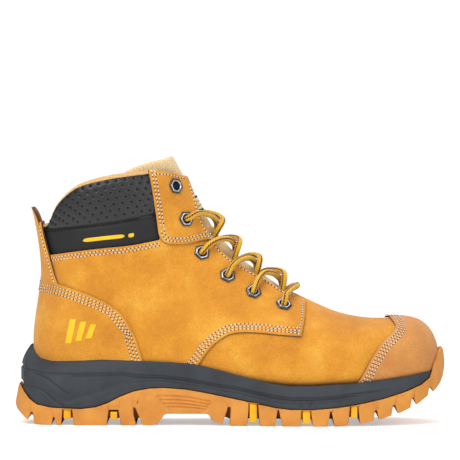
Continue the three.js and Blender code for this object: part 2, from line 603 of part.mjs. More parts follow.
// One strand, from its end inside the boot down to the lowest eyelet of the other side or its own.
function strand(startOuter) {
  const points = backwards(laceEnd(SIDES[startOuter ? 0 : 1]));
  let onOuter = startOuter;
  for (let i = 1; i + 1 < EYELETS.length; i++) {
    const from = (onOuter ? lacing.outer : lacing.inner)[i];
    const to = (onOuter ? lacing.inner : lacing.outer)[i + 1];
    points.push(...crossing(from, to, onOuter ? -1 : 1, !startOuter === (i % 2 === 1)));
    points.push(...turn(to));
    onOuter = !onOuter;
  }
  return points;
}

function lacePoints() {
  const first = strand(true);
  const second = strand(false);
  const bar = BAR.map(([a, u, depth]) => skin(u, RIDGE - degrees(a), depth));
  return [...first, ...bar, ...backwards(second)];
}

// A path that ExtrudeGeometry samples at its own points, close together only where it bends.
class HandRoute extends THREE.CatmullRomCurve3 {
  getPointAt(t, target) {
    return this.getPoint(t, target);
  }

  getTangentAt(t, target) {
    return this.getTangent(t, target);
  }
}

function geometrySolid(geometry) {
  const flat = geometry.index ? geometry.toNonIndexed() : geometry;
  const mesh = new Mesh({
    numProp: 3,
    vertProperties: new Float32Array(flat.getAttribute("position").array),
    triVerts: Uint32Array.from({ length: flat.getAttribute("position").count }, (_, i) => i),
  });
  mesh.merge();
  return new Manifold(mesh);
}

function lace() {
  const points = lacePoints();
  const route = new HandRoute(points, false, "centripetal");
  const ring = Array.from({ length: LACE_SIDES }, (_, i) => {
    const a = (2 * Math.PI * i) / LACE_SIDES;
    return new THREE.Vector2((LACE / 2) * Math.cos(a), (LACE / 2) * Math.sin(a));
  });
  const shape = new THREE.Shape(ring);
  const geometry = new THREE.ExtrudeGeometry(shape,
    { steps: points.length - 1, extrudePath: route, curveSegments: 1 });
  return geometrySolid(new THREE.BufferGeometry()
    .setAttribute("position", geometry.getAttribute("position")));
}

function aglet(side) {
  const route = laceEnd(side);
  const end = route[route.length - 1];
  const along = end.clone().sub(route[route.length - 2]).normalize();
  const m = new THREE.Matrix4().makeBasis(...basisAlong(along))
    .setPosition(end.clone().addScaledVector(along, GAP));
  return Manifold.cylinder(AGLET, LACE / 2 + 0.1, LACE / 2 - 0.5, 10).transform(m.elements);
}

function basisAlong(z) {
  const x = new THREE.Vector3(0, 1, 0).cross(z).normalize();
  return [x, new THREE.Vector3().crossVectors(z, x), z];
}

// ---- Insole ---------------------------------------------------------------------------------

function insole() {
  return {
    steel_midsole_plate: body(-2.5).intersect(bandAbove(plateRise.low, plateRise.high)),
    insole_board: body(-GAP).intersect(bandAbove(boardRise.low, boardRise.high)),
    footbed: body(liningLayer.inner - FOOTBED_EASE).translate([0, 0, GAP - FOOTBED_EASE])
      .intersect(bandAbove(footbedRise.low - FOOTBED_EASE, footbedRise.high))
      .intersect(prism([[-160, 10], [FOOTBED_TIP, 10], [FOOTBED_TIP, 80], [-160, 80]])),
  };
}

// ---- Sole -----------------------------------------------------------------------------------

function planSolid(outset, zLow, zHigh) {
  const loop = new THREE.CatmullRomCurve3(
    SOLE_PLAN.map(gradePlan).map(([x, y]) => new THREE.Vector3(x, y, 0)), true, "centripetal");
  const ring = loop.getPoints(72).slice(0, -1).map((p) => [p.x, p.y]);
  const section = new CrossSection([ring], "Positive").offset(outset, "Round", 2, 24);
  return section.extrude(zHigh - zLow).translate([0, 0, zLow]);
}

function midsole() {
  const outline = [...HEEL_TAB, ...RIM, ...backwards(shift(SOLE_LINE, 0, GAP / 2))];
  const block = planSolid(-MIDSOLE_INSET, 0, HEIGHT / 2).intersect(prism(outline));
  const cup = body(GAP).intersect(everythingAbove(BED));
  const aroundGuard = body(overlayLayer.outer + GAP)
    .intersect(prism([...shift(HEEL_GUARD_EDGE, 1, 0), [-160, 20], [-160, 101]]))
    .intersect(everythingAbove(BED));
  return mainBody(block.subtract(cup).subtract(aroundGuard));
}

// Slots across the tread: one for each insert, and the grooves between the lugs.
function treadSlots() {
  const slots = [];
  for (const [back, front] of INSERTS) {
    const [low, high] = [heightOn(SOLE_LINE, back), heightOn(SOLE_LINE, front)];
    slots.push(prism([[back - GAP, -5], [front + GAP, -5], [front + GAP, high - WEB + GAP],
      [back - GAP, low - WEB + GAP]]));
  }
  for (const [x, wide] of GROOVES) {
    const floor = groundAt(x) + TREAD;
    const flank = wide / 2;
    slots.push(prism([[x - flank - 0.8, -5], [x + flank + 0.8, -5], [x + flank, floor],
      [x - flank, floor]]));
  }
  return slots;
}

// Height of a side line above x, in pattern sizes.
function heightOn(line, x) {
  for (let i = 0; i + 1 < line.length; i++) {
    const [a, b] = [line[i], line[i + 1]];
    if ((a[0] - x) * (b[0] - x) <= 0 && a[0] !== b[0]) {
      return mix(a[1], b[1], (x - a[0]) / (b[0] - a[0]));
    }
  }
  return 0;
}
const groundAt = (x) => heightOn(GROUND, x);

function outsole() {
  const outline = [...BUMPER, ...GROUND, ...HEEL_BACK, ...shift(SOLE_LINE, 0, -GAP / 2)];
  const block = planSolid(0, -5, HEIGHT / 2).intersect(prism(outline));
  let sole = block.subtract(body(GAP));
  for (const slot of treadSlots()) {
    sole = sole.subtract(slot);
  }
  return sole;
}

function cushionInserts() {
  const made = {};
  INSERTS.forEach(([back, front], i) => {
    const low = groundAt((back + front) / 2) + INSERT_GROUND;
    const bar = prism([[back, low], [front, low], [front, heightOn(SOLE_LINE, front) - WEB],
      [back, heightOn(SOLE_LINE, back) - WEB]]);
    made["cushion_insert_" + (i + 1)] = bar.intersect(planSolid(-INSERT_SIDE, -5, 60));
  });
  return made;
}

// ---- Materials and assembly -----------------------------------------------------------------

const finish = (color, roughness, metalness) => ({ color, roughness, metalness });
const FINISHES = {
  nubuck: finish(0xd99a3c, 0.9, 0),
  toe_nubuck: finish(0xc98b45, 0.85, 0),
  flesh_side: finish(0x6e4726, 0.95, 0),
  collar_fabric: finish(0x2a2b2e, 0.8, 0),
  lining_mesh: finish(0xcaa06a, 0.9, 0),
  padding_foam: finish(0x3a3a3c, 0.95, 0),
  midsole_pu: finish(0x4a5058, 0.7, 0),
  gum_rubber: finish(0xe39a55, 0.65, 0),
  insert_yellow: finish(0xf2b90f, 0.6, 0),
  steel: finish(0x9a9da2, 0.35, 1),
  board: finish(0xb09a78, 0.9, 0),
  footbed_fabric: finish(0x33363b, 0.9, 0),
  eyelet_steel: finish(0x6b7078, 0.3, 1),
  stiffener: finish(0xe6e0d2, 0.6, 0),
  lace_braid: finish(0xe8b81c, 0.8, 0),
  label_weave: finish(0x1f2022, 0.8, 0),
};

// Pieces of the upper and the insole that aren't plain nubuck.
const FINISH_OF = {
  collar: "collar_fabric",
  eyelet_stay: "flesh_side",
  toe_guard: "toe_nubuck",
  steel_toecap: "steel",
  toecap_edge_strip: "label_weave",
  heel_counter: "stiffener",
  collar_padding: "padding_foam",
  collar_lining: "lining_mesh",
  vamp_lining: "lining_mesh",
  quarter_lining: "lining_mesh",
  steel_midsole_plate: "steel",
  insole_board: "board",
  footbed: "footbed_fabric",
};

const group = new THREE.Group();
group.name = "work_boot";

function addPiece(name, solid, finishName) {
  const mesh = solid.getMesh();
  const geometry = new THREE.BufferGeometry();
  const positions = new Float32Array(mesh.numVert * 3);
  for (let i = 0; i < mesh.numVert; i++) {
    for (let k = 0; k < 3; k++) positions[3 * i + k] = mesh.vertProperties[i * mesh.numProp + k];
  }
  geometry.setAttribute("position", new THREE.BufferAttribute(positions, 3));
  geometry.setIndex(new THREE.BufferAttribute(new Uint32Array(mesh.triVerts), 1));
  geometry.computeVertexNormals();
  const material = new THREE.MeshStandardMaterial(FINISHES[finishName]);
  material.name = finishName;
  const piece = new THREE.Mesh(geometry, material);
  piece.name = name;
  group.add(piece);
}

addPiece("tongue", tongue(), "lining_mesh");
addPiece("tongue_label", tongueLabel(), "label_weave");
addPiece("lace", lace(), "lace_braid");
for (const side of SIDES) addPiece("lace_aglet_" + side.name, aglet(side), "label_weave");
for (const [name, solid] of Object.entries({ ...upper(), ...insole() })) {
  addPiece(name, solid, FINISH_OF[name.replace(/_(outer|inner)$/, "")] ?? "nubuck");
}
addPiece("midsole", midsole(), "midsole_pu");
addPiece("outsole", outsole(), "gum_rubber");
for (const [name, solid] of Object.entries(cushionInserts())) addPiece(name, solid, "insert_yellow");
for (const side of SIDES) {
  lacing[side.name].forEach((hole, i) => {
    addPiece("eyelet_" + side.name + "_" + (i + 1), eyelet(hole), "eyelet_steel");
    addPiece("eyelet_washer_" + side.name + "_" + (i + 1), washer(hole), "eyelet_steel");
  });
}

export default group;
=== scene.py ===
"""The finished look of a nubuck safety work boot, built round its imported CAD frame.

The upper, lining, collar, tongue and lace all lie at named depths of one surface, the last's
skin, which is the same surface that the CAD solids are cut from. Lengths inside the functions
are millimetres; build() turns them to metres.
"""
import json
import math

import bpy
import numpy as np
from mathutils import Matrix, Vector
from mathutils.geometry import delaunay_2d_cdt

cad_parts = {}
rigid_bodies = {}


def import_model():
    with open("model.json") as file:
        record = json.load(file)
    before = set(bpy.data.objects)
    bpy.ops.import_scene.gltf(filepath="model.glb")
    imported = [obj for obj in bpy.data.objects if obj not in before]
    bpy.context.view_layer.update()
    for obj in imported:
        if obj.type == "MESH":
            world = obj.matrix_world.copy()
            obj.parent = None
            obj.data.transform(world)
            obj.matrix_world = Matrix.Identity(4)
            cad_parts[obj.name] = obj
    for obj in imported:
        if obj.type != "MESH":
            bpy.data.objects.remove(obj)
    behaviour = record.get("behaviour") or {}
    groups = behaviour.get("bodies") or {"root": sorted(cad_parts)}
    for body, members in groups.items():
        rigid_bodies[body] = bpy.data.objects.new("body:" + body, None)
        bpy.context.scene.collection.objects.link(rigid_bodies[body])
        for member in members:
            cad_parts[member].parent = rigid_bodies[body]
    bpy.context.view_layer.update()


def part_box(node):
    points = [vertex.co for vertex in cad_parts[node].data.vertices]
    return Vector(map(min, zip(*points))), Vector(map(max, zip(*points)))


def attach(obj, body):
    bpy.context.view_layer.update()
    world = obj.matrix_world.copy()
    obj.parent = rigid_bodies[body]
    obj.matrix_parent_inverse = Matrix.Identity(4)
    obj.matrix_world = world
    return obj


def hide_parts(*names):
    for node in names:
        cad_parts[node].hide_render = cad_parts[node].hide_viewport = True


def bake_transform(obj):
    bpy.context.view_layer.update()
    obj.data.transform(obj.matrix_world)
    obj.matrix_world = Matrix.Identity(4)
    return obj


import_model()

MM = 0.001
PI = math.pi

# ---- The last's skin ------------------------------------------------------------------------

# Each station is a slice through a ridge point and a sole or heel point: ridge x, ridge z,
# sole x, sole z, half width, centre, widest place, squareness below, squareness above, taper.
STATIONS = np.array([
    [149, 42.5, 149, 41.5, 0.5, 6, 0.4, 2, 2, 0],
    [147.6, 55, 147.6, 32.5, 17, 6, 0.4, 2.2, 2.2, 0],
    [143, 65.5, 143, 29.5, 28, 5.5, 0.38, 2.4, 2.2, 0],
    [135.5, 72.4, 135.5, 27.3, 36.5, 5, 0.37, 2.7, 2.3, 0],
    [125, 75.4, 125, 25.6, 42.5, 4.2, 0.36, 2.9, 2.3, 0],
    [112, 75.9, 112, 24, 47, 3, 0.35, 3, 2.3, 0.02],
    [96, 76.4, 96, 22.4, 50.5, 1.6, 0.34, 3.1, 2.3, 0.05],
    [78, 80, 78, 21, 52.5, 0.3, 0.33, 3.2, 2.2, 0.12],
    [60, 87.4, 60, 20.2, 53, -0.7, 0.32, 3.2, 2.1, 0.22],
    [42, 96.5, 32, 20.8, 50.5, -1.8, 0.3, 3.2, 2, 0.32],
    [26, 106, 2, 23, 44.5, -3, 0.28, 3.1, 2, 0.34],
    [12.5, 115.5, -29, 27, 39.5, -3.2, 0.27, 3, 2, 0.3],
    [3, 124, -59, 30.4, 37.2, -2, 0.27, 3, 2, 0.26],
    [-3.5, 131, -88, 32.4, 36.6, -0.8, 0.3, 3, 2.1, 0.22],
    [-8.2, 136.5, -112, 33.4, 36.4, 0, 0.34, 2.9, 2.1, 0.19],
    [-11.6, 141.5, -128, 36, 36.2, 0, 0.38, 2.7, 2.1, 0.16],
    [-14.2, 146, -136.3, 45, 36, 0, 0.42, 2.5, 2.2, 0.14],
    [-17, 150.5, -138, 59, 36, 0, 0.45, 2.2, 2.2, 0.12],
    [-20, 156, -136.8, 75, 36, 0, 0.46, 2.1, 2.2, 0.1],
    [-23, 162, -134.6, 91, 36.2, 0, 0.47, 2, 2.2, 0.08],
    [-26.5, 169, -132.8, 106, 36.8, 0, 0.48, 2, 2.2, 0.06],
    [-30, 176, -133.6, 121, 37.6, 0, 0.48, 2, 2.2, 0.04],
    [-34, 184, -135.8, 136, 38.6, 0, 0.48, 2, 2.2, 0.02],
    [-38, 192, -138, 150, 39.4, 0, 0.48, 2, 2.2, 0],
    [-41, 200, -139.5, 164, 40, 0, 0.48, 2, 2.2, 0],
])
LAST = len(STATIONS) - 1
PADDED_STATIONS = np.vstack(
    [2 * STATIONS[0] - STATIONS[1], STATIONS, 2 * STATIONS[-1] - STATIONS[-2]])


def station(u):
    """The slice at any u: Catmull-Rom through the four stations around it, column by column."""
    u = np.asarray(u, float)
    i = np.clip(np.floor(u), 0, LAST - 1).astype(int)
    t = (u - i)[..., None]
    a, b, c, d = (PADDED_STATIONS[i + k] for k in range(4))
    bend = 2 * a - 5 * b + 4 * c - d + (3 * b - a - 3 * c + d) * t
    return b + 0.5 * t * (c - a + t * bend)


def skin_point(u, angle):
    """A superellipse laid over the slice. Angle 0 is the sole or heel line, a quarter turn the
    outer side, half a turn the ridge; a negative angle runs up the inner side."""
    u, angle = np.broadcast_arrays(np.asarray(u, float), np.asarray(angle, float))
    tx, tz, bx, bz, half, centre, full, low, up, taper = np.moveaxis(station(u), -1, 0)
    c, k = np.cos(angle), np.sin(angle)
    power = np.where(c > 0, low, up)
    r = (np.abs(c) ** power + np.abs(k) ** power) ** (-1 / power)
    along, across = r * c, r * k
    t = np.where(along > 0, full * (1 - along), full - (1 - full) * along)
    narrow = np.where(along < 0, 1 - taper * along ** 2, 1)
    return np.stack([bx + (tx - bx) * t, centre - half * across * narrow,
                     bz + (tz - bz) * t], -1)


def ease(t):
    """A smooth step from 0 to 1: three t squared less two t cubed, flat outside 0 to 1."""
    t = np.clip(t, 0, 1)
    return t ** 2 * (3 - 2 * t)


def run_of(points):
    """Distance covered along a polyline at each of its points."""
    return np.concatenate([[0], np.cumsum(np.linalg.norm(np.diff(points, axis=0), axis=1))])


def read_at(at, run, points):
    """A polyline's columns at the distances in at, by straight lines between its points."""
    return np.stack([np.interp(at, run, column) for column in points.T], -1)


def round_angles(count):
    """Angles evenly round a circle, from 0."""
    return np.arange(count) / count * 2 * PI


def circle(count, radius, height):
    """A level ring of points round the z axis."""
    angles = round_angles(count)
    return np.stack([np.cos(angles) * radius, np.sin(angles) * radius, np.full(count, height)], -1)


def unit(v):
    """The vectors at length one."""
    return v / np.maximum(np.linalg.norm(v, axis=-1, keepdims=True), 1e-12)


def slopes(u, angle, step=0.02):
    """The skin's two tangents, by central differences."""
    u = np.asarray(u, float)
    low, high = np.maximum(u - step, 0.05), np.minimum(u + step, LAST)
    along = (skin_point(high, angle) - skin_point(low, angle)) / (high - low)[..., None]
    around = (skin_point(u, angle + step) - skin_point(u, angle - step)) / (2 * step)
    return along, around


def skin_normal(u, angle):
    """Outward normal: the cross product of the two tangents."""
    along, around = slopes(u, angle)
    return -unit(np.cross(along, around))


def skin(u, angle, depth):
    """The skin moved out by depth along its normal."""
    return skin_point(u, angle) + skin_normal(u, angle) * np.asarray(depth, float)[..., None]


SEARCH = np.linspace(0.03, LAST, 900)
SEARCH_ROWS = station(SEARCH)


def locate(line):
    """(u, angle) on the outer side for points [x, z] of the side view. Every slice is a straight
    line there, so u is where the line's side of the point changes, and the angle follows from
    the superellipse. A point off the outline goes to the ridge or to the heel line."""
    line = np.asarray(line, float).reshape(-1, 2)
    x, z = line[:, :1], line[:, 1:]
    tx, tz, bx, bz = (SEARCH_ROWS[:, i] for i in range(4))
    side = (tx - bx) * (z - bz) - (tz - bz) * (x - bx)
    share = ((x - bx) * (tx - bx) + (z - bz) * (tz - bz)) / ((tx - bx) ** 2 + (tz - bz) ** 2)
    off = np.maximum(np.maximum(-share, share - 1), 0)
    crosses = side[:, :-1] * side[:, 1:] <= 0
    cost = np.where(crosses, off[:, :-1], 1e3 + np.abs(side[:, :-1]))
    i = np.argmin(cost, axis=1)
    row = np.arange(len(line))
    a, b = side[row, i], side[row, i + 1]
    near = np.where(np.abs(a - b) > 1e-9, a / np.where(a == b, 1, a - b), 0)
    u = SEARCH[i] + np.clip(near, 0, 1) * (SEARCH[1] - SEARCH[0])
    tx, tz, bx, bz, _, _, full, low, up, _ = station(u).T
    x, z = line.T
    t = ((x - bx) * (tx - bx) + (z - bz) * (tz - bz)) / ((tx - bx) ** 2 + (tz - bz) ** 2)
    along = np.clip(np.where(t < full, 1 - t / full, -(t - full) / (1 - full)), -1, 1)
    power = np.where(along > 0, low, up)
    across = np.maximum(1 - np.abs(along) ** power, 0) ** (1 / power)
    return np.stack([u, np.arctan2(across, along)], -1)


def resample(points, spacing, closed=False):
    """Evenly spaced points along a polyline."""
    points = np.asarray(points, float)
    if closed:
        points = np.vstack([points, points[:1]])
    run = run_of(points)
    count = max(int(round(run[-1] / spacing)), 2)
    out = read_at(np.linspace(0, run[-1], count + 1), run, points)
    return out[:-1] if closed else out


def curve(points, spacing=0.8):
    """A smooth curve through given points: centripetal Catmull-Rom, evenly resampled."""
    p = np.asarray(points, float)
    if len(p) == 2:
        return resample(p, spacing)
    p = np.vstack([2 * p[0] - p[1], p, 2 * p[-1] - p[-2]])
    gap = np.maximum(np.linalg.norm(np.diff(p, axis=0), axis=1), 1e-6) ** 0.5
    knot = np.concatenate([[0], np.cumsum(gap)])
    share = np.linspace(0, 1, 24, endpoint=False)
    i = np.repeat(np.arange(1, len(p) - 2), len(share))
    t = (knot[i] + np.tile(share, len(p) - 3) * (knot[i + 1] - knot[i]))[:, None]
    k = [knot[i + j][:, None] for j in (-1, 0, 1, 2)]
    q = [p[i + j] for j in (-1, 0, 1, 2)]
    a = [(k[j + 1] - t) / (k[j + 1] - k[j]) * q[j] + (t - k[j]) / (k[j + 1] - k[j]) * q[j + 1]
         for j in range(3)]
    b = [(k[j + 2] - t) / (k[j + 2] - k[j]) * a[j] + (t - k[j]) / (k[j + 2] - k[j]) * a[j + 1]
         for j in range(2)]
    c = (k[2] - t) / (k[2] - k[1]) * b[0] + (t - k[1]) / (k[2] - k[1]) * b[1]
    return resample(np.vstack([c, p[-2:-1]]), spacing)


def trace(points, spacing=0.8):
    """A smooth side-view line as (u, angle) on the outer side."""
    return locate(curve(points, spacing))


def nudge(chart, moves):
    """Chart points moved by 3-D vectors in the skin: least squares on the two tangents."""
    along, around = slopes(chart[:, 0], chart[:, 1])
    aa, bb, ab = (along ** 2).sum(-1), (around ** 2).sum(-1), (along * around).sum(-1)
    pa, pb = (moves * along).sum(-1), (moves * around).sum(-1)
    det = np.maximum(aa * bb - ab ** 2, 1e-9)
    du, dv = (pa * bb - pb * ab) / det, (pb * aa - pa * ab) / det
    return np.stack([np.clip(chart[:, 0] + du, 0.06, LAST), chart[:, 1] + dv], -1)


def beside(chart, distance, closed=False):
    """A chart line moved sideways in the skin by millimetres, to the left as seen from inside."""
    p = skin_point(chart[:, 0], chart[:, 1])
    if closed:
        run = np.roll(p, -1, 0) - np.roll(p, 1, 0)
    else:
        run = np.gradient(p, axis=0)
    side = np.cross(unit(run), skin_normal(chart[:, 0], chart[:, 1]))
    return nudge(chart, unit(side) * distance)


def mirrored(chart):
    """The same line on the inner side."""
    return chart * [1, -1]


# ---- Mesh making ----------------------------------------------------------------------------

def corner_triangles(faces):
    """Faces of three or four corners as triangles."""
    out = []
    for f in faces:
        out.append(f[:, :3])
        if f.shape[1] == 4:
            out.append(f[:, [0, 2, 3]])
    return np.vstack(out)


def build(name, verts, faces, finishes, body="boot", slot=None, stands_for=(), index=None,
          uv=None, outward=True, crisp=None):
    """One piece: vertices in millimetres, arrays of three or four corners, and its finishes.
    A closed mesh whose volume comes out negative has its faces turned round. crisp is the angle
    in degrees past which two faces meet in a hard edge."""
    faces = [f for f in faces if len(f)]
    if outward:
        tri = verts[corner_triangles(faces)]
        volume = np.einsum("ij,ij->", tri[:, 0], np.cross(tri[:, 1], tri[:, 2]))
        if volume < 0:
            faces = [f[:, ::-1] for f in faces]
    mesh = bpy.data.meshes.new(name)
    mesh.from_pydata((verts * MM).tolist(), [], [c for f in faces for c in f.tolist()])
    mesh.validate()
    mesh.shade_smooth()
    if crisp:
        mesh.set_sharp_from_angle(angle=math.radians(crisp))
    for finish in finishes if isinstance(finishes, (list, tuple)) else [finishes]:
        mesh.materials.append(finish)
    if index is not None:
        mesh.polygons.foreach_set("material_index", np.asarray(index, np.int32))
    if uv is not None:
        corners = np.empty(len(mesh.loops), np.int32)
        mesh.loops.foreach_get("vertex_index", corners)
        layer = mesh.uv_layers.new(name="UVMap")
        layer.data.foreach_set("uv", uv[corners].astype(np.float32).ravel())
    piece = bpy.data.objects.new(name, mesh)
    bpy.context.scene.collection.objects.link(piece)
    if body:
        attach(piece, body)
    if stands_for:
        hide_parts(*stands_for)
    return piece


def loft(rows, closed=True, caps=True):
    """Quads between rows of points, joined round each row, with a fan over each end."""
    n, m = rows.shape[:2]
    verts = rows.reshape(-1, 3)
    i, j = np.meshgrid(np.arange(n - 1), np.arange(m if closed else m - 1), indexing="ij")
    i, j = i.ravel(), j.ravel()
    k = (j + 1) % m
    quads = np.stack([i * m + j, (i + 1) * m + j, (i + 1) * m + k, i * m + k], -1)
    faces = [quads]
    if caps and closed:
        ends = np.stack([rows[0].mean(0), rows[-1].mean(0)])
        verts = np.vstack([verts, ends])
        j = np.arange(m)
        k = (j + 1) % m
        faces.append(np.stack([np.full(m, n * m), j, k], -1))
        faces.append(np.stack([np.full(m, n * m + 1), (n - 1) * m + k, (n - 1) * m + j], -1))
    return verts, faces


def scatter(base, base_faces, origins, x_axes, y_axes, z_axes):
    """Copies of a small mesh, one at each origin, turned to the three axes given there."""
    place = np.stack([x_axes, y_axes, z_axes], 1)
    verts = (np.einsum("vk,nkj->nvj", base, place) + origins[:, None]).reshape(-1, 3)
    shift = np.arange(len(origins))[:, None, None] * len(base)
    return verts, [(f[None] + shift).reshape(-1, f.shape[1]) for f in base_faces]


def inside(points, loop):
    """Which points lie in a polygon: an odd number of edges crossed to the right."""
    x, y = points[:, :1], points[:, 1:]
    a, b = loop, np.roll(loop, -1, 0)
    over = (a[:, 1] > y) != (b[:, 1] > y)
    slope = (b[:, 0] - a[:, 0]) / np.where(b[:, 1] == a[:, 1], 1e-12, b[:, 1] - a[:, 1])
    return ((over & (x < a[:, 0] + (y - a[:, 1]) * slope)).sum(1) % 2) == 1


# How a panel's edge rounds off: distance in from the outline, and how far the face drops there.
RAW_EDGE = [(0.0, -0.42), (0.28, -0.12), (0.7, 0.0)]


def tiled(points, spacing):
    """Even points in the same plane over a loop's box, every other row shifted by half."""
    low, high = points.min(0), points.max(0)
    xs = np.arange(low[0], high[0], spacing)
    ys = np.arange(low[1], high[1], spacing * 0.87)
    gx, gy = np.meshgrid(xs, ys, indexing="ij")
    gx = gx + (np.arange(len(ys)) % 2) * spacing / 2
    return np.stack([gx.ravel(), gy.ravel()], -1)


def depth_at(depth, u, angle):
    """A depth that is one number or a function of the place, as an array."""
    return depth(u, angle) if callable(depth) else np.full(len(u), float(depth))


def panel(name, loop, outer, inner, finishes, edge=RAW_EDGE, spacing=2.6, relief=None,
          both_sides=False, **facts):
    """A cut panel of sheet material. Its outline and smaller and smaller copies of it, with even
    points between, are triangulated in the chart of the skin and lifted to the outer depth; the
    copies near the edge drop by the edge's profile. The same net reversed makes the back, and
    quads join the two outlines. outer and inner are depths, or functions of u and angle."""
    area = np.sum(loop[:, 0] * np.roll(loop[:, 1], -1) - np.roll(loop[:, 0], -1) * loop[:, 1])
    if area < 0:
        loop = loop[::-1]
    along, around = slopes(loop[:, 0], loop[:, 1])
    scale = np.array([np.median(np.linalg.norm(along, axis=1)),
                      np.median(np.linalg.norm(around, axis=1))])
    rim = skin_point(loop[:, 0], loop[:, 1])
    charts, drops = [loop], [np.full(len(loop), edge[0][1])]
    for distance, drop in edge[1:]:
        ring = beside(loop, distance, closed=True)
        at = skin_point(ring[:, 0], ring[:, 1])
        gap = np.sqrt(((at[:, None] - rim[None, ::2]) ** 2).sum(-1).min(1))
        good = (gap > distance * 0.8) & inside(ring, loop)
        charts.append(ring[good])
        drops.append(np.full(good.sum(), drop))
    grid = tiled(loop * scale, spacing) / scale
    grid = grid[inside(grid, loop)]
    at = skin_point(grid[:, 0], grid[:, 1])
    gap = np.concatenate([np.sqrt(((part[:, None] - rim[None, ::2]) ** 2).sum(-1).min(1))
                          for part in np.array_split(at, max(len(at) // 2000, 1))])
    grid = grid[gap > edge[-1][0] + spacing * 0.45]
    charts.append(grid)
    drops.append(np.zeros(len(grid)))
    chart, drop = np.vstack(charts), np.concatenate(drops)
    flat = chart * scale
    n = len(loop)
    out = delaunay_2d_cdt([Vector(p) for p in flat], [], [list(range(n))], 1, 1e-6)
    source = np.array([ids[0] if ids else -1 for ids in out[3]])
    kept = source >= 0
    chart_out = np.array([tuple(v) for v in out[0]]) / scale
    drop_out = np.where(kept, drop[np.maximum(source, 0)], 0.0)
    tris = np.array([list(f) for f in out[2]])
    u, angle = chart_out.T
    top, bottom = depth_at(outer, u, angle), depth_at(inner, u, angle)
    place, normal = skin_point(u, angle), skin_normal(u, angle)
    if relief is not None:
        top = top + relief(place, u, angle)
    back = -drop_out if both_sides else 0
    verts = np.vstack([place + normal * (top + drop_out)[:, None],
                       place + normal * (bottom + back)[:, None]])
    where = np.full(n, -1)
    on_rim = kept & (source < n)
    where[source[on_rim]] = np.nonzero(on_rim)[0]
    a = where[where >= 0]
    b = np.roll(a, -1)
    size = len(u)
    walls = np.stack([a, b, b + size, a + size], -1)
    p = verts[tris[0]]
    if np.dot(np.cross(p[1] - p[0], p[2] - p[0]), normal[tris[0][0]]) < 0:
        tris = tris[:, ::-1]
    e = set(map(tuple, np.vstack([tris[:, [0, 1]], tris[:, [1, 2]], tris[:, [2, 0]]]).tolist()))
    if (int(a[0]), int(b[0])) in e:
        walls = walls[:, ::-1]
    index = np.concatenate([np.zeros(len(tris)), np.full(len(tris), 2), np.ones(len(walls))])
    several = isinstance(finishes, (list, tuple))
    return build(name, verts, [tris, tris[:, ::-1] + size, walls], finishes,
                 index=index if several and len(finishes) > 2 else None, outward=False, **facts)

# ---- Finishes -------------------------------------------------------------------------------

def colour(hex_value):
    """An sRGB hex colour as linear RGBA."""
    parts = [int(hex_value[i:i + 2], 16) / 255 for i in (1, 3, 5)]
    return [p / 12.92 if p <= 0.04045 else ((p + 0.055) / 1.055) ** 2.4 for p in parts] + [1.0]


def add(tree, kind, values=(), **settings):
    """Adds a node. Each value is a constant for that input, or the output socket that feeds it."""
    made = tree.nodes.new(kind)
    for key, value in settings.items():
        setattr(made, key, value)
    for key, value in dict(values).items():
        if isinstance(value, bpy.types.NodeSocket):
            tree.links.new(value, made.inputs[key])
        else:
            made.inputs[key].default_value = value
    return made


def ramp(tree, factor, stops):
    """A colour ramp between (position, hex colour) stops."""
    made = add(tree, "ShaderNodeValToRGB", {"Fac": factor})
    steps = made.color_ramp.elements
    while len(steps) < len(stops):
        steps.new(0.5)
    for step, (position, hex_value) in zip(steps, stops):
        step.position = position
        step.color = colour(hex_value)
    return made.outputs["Color"]


def per_mm(size):
    """Texture scale that repeats about every size millimetres."""
    return 1000 / size


def start(name, **constants):
    """A new material: its tree, shader and object coordinates."""
    finish = bpy.data.materials.new(name)
    finish.use_nodes = True
    tree = finish.node_tree
    shader = tree.nodes["Principled BSDF"]
    for key, value in constants.items():
        shader.inputs[key.replace("_", " ")].default_value = value
    coords = add(tree, "ShaderNodeTexCoord")
    return finish, tree, shader, coords.outputs["Object"]


def noise(tree, at, size, detail=3.0, rough=0.6):
    """Noise whose features are about size millimetres."""
    made = add(tree, "ShaderNodeTexNoise",
               {"Vector": at, "Scale": per_mm(size), "Detail": detail, "Roughness": rough})
    return made.outputs["Fac"]


def bump(tree, shader, heights):
    """Bump from (height, strength, depth in millimetres), one on top of the other."""
    below = None
    for height, strength, depth in heights:
        values = {"Height": height, "Strength": strength, "Distance": depth * MM}
        if below is not None:
            values["Normal"] = below
        below = add(tree, "ShaderNodeBump", values).outputs["Normal"]
    tree.links.new(below, shader.inputs["Normal"])


def blend_colours(tree, factor, first, second, mode="MIX"):
    """Two colours mixed by a factor."""
    made = tree.nodes.new("ShaderNodeMix")
    made.data_type, made.blend_type = "RGBA", mode
    for socket, value in ((made.inputs[0], factor), (made.inputs[6], first),
                          (made.inputs[7], second)):
        if isinstance(value, bpy.types.NodeSocket):
            tree.links.new(value, socket)
        else:
            socket.default_value = value
    return made.outputs[2]


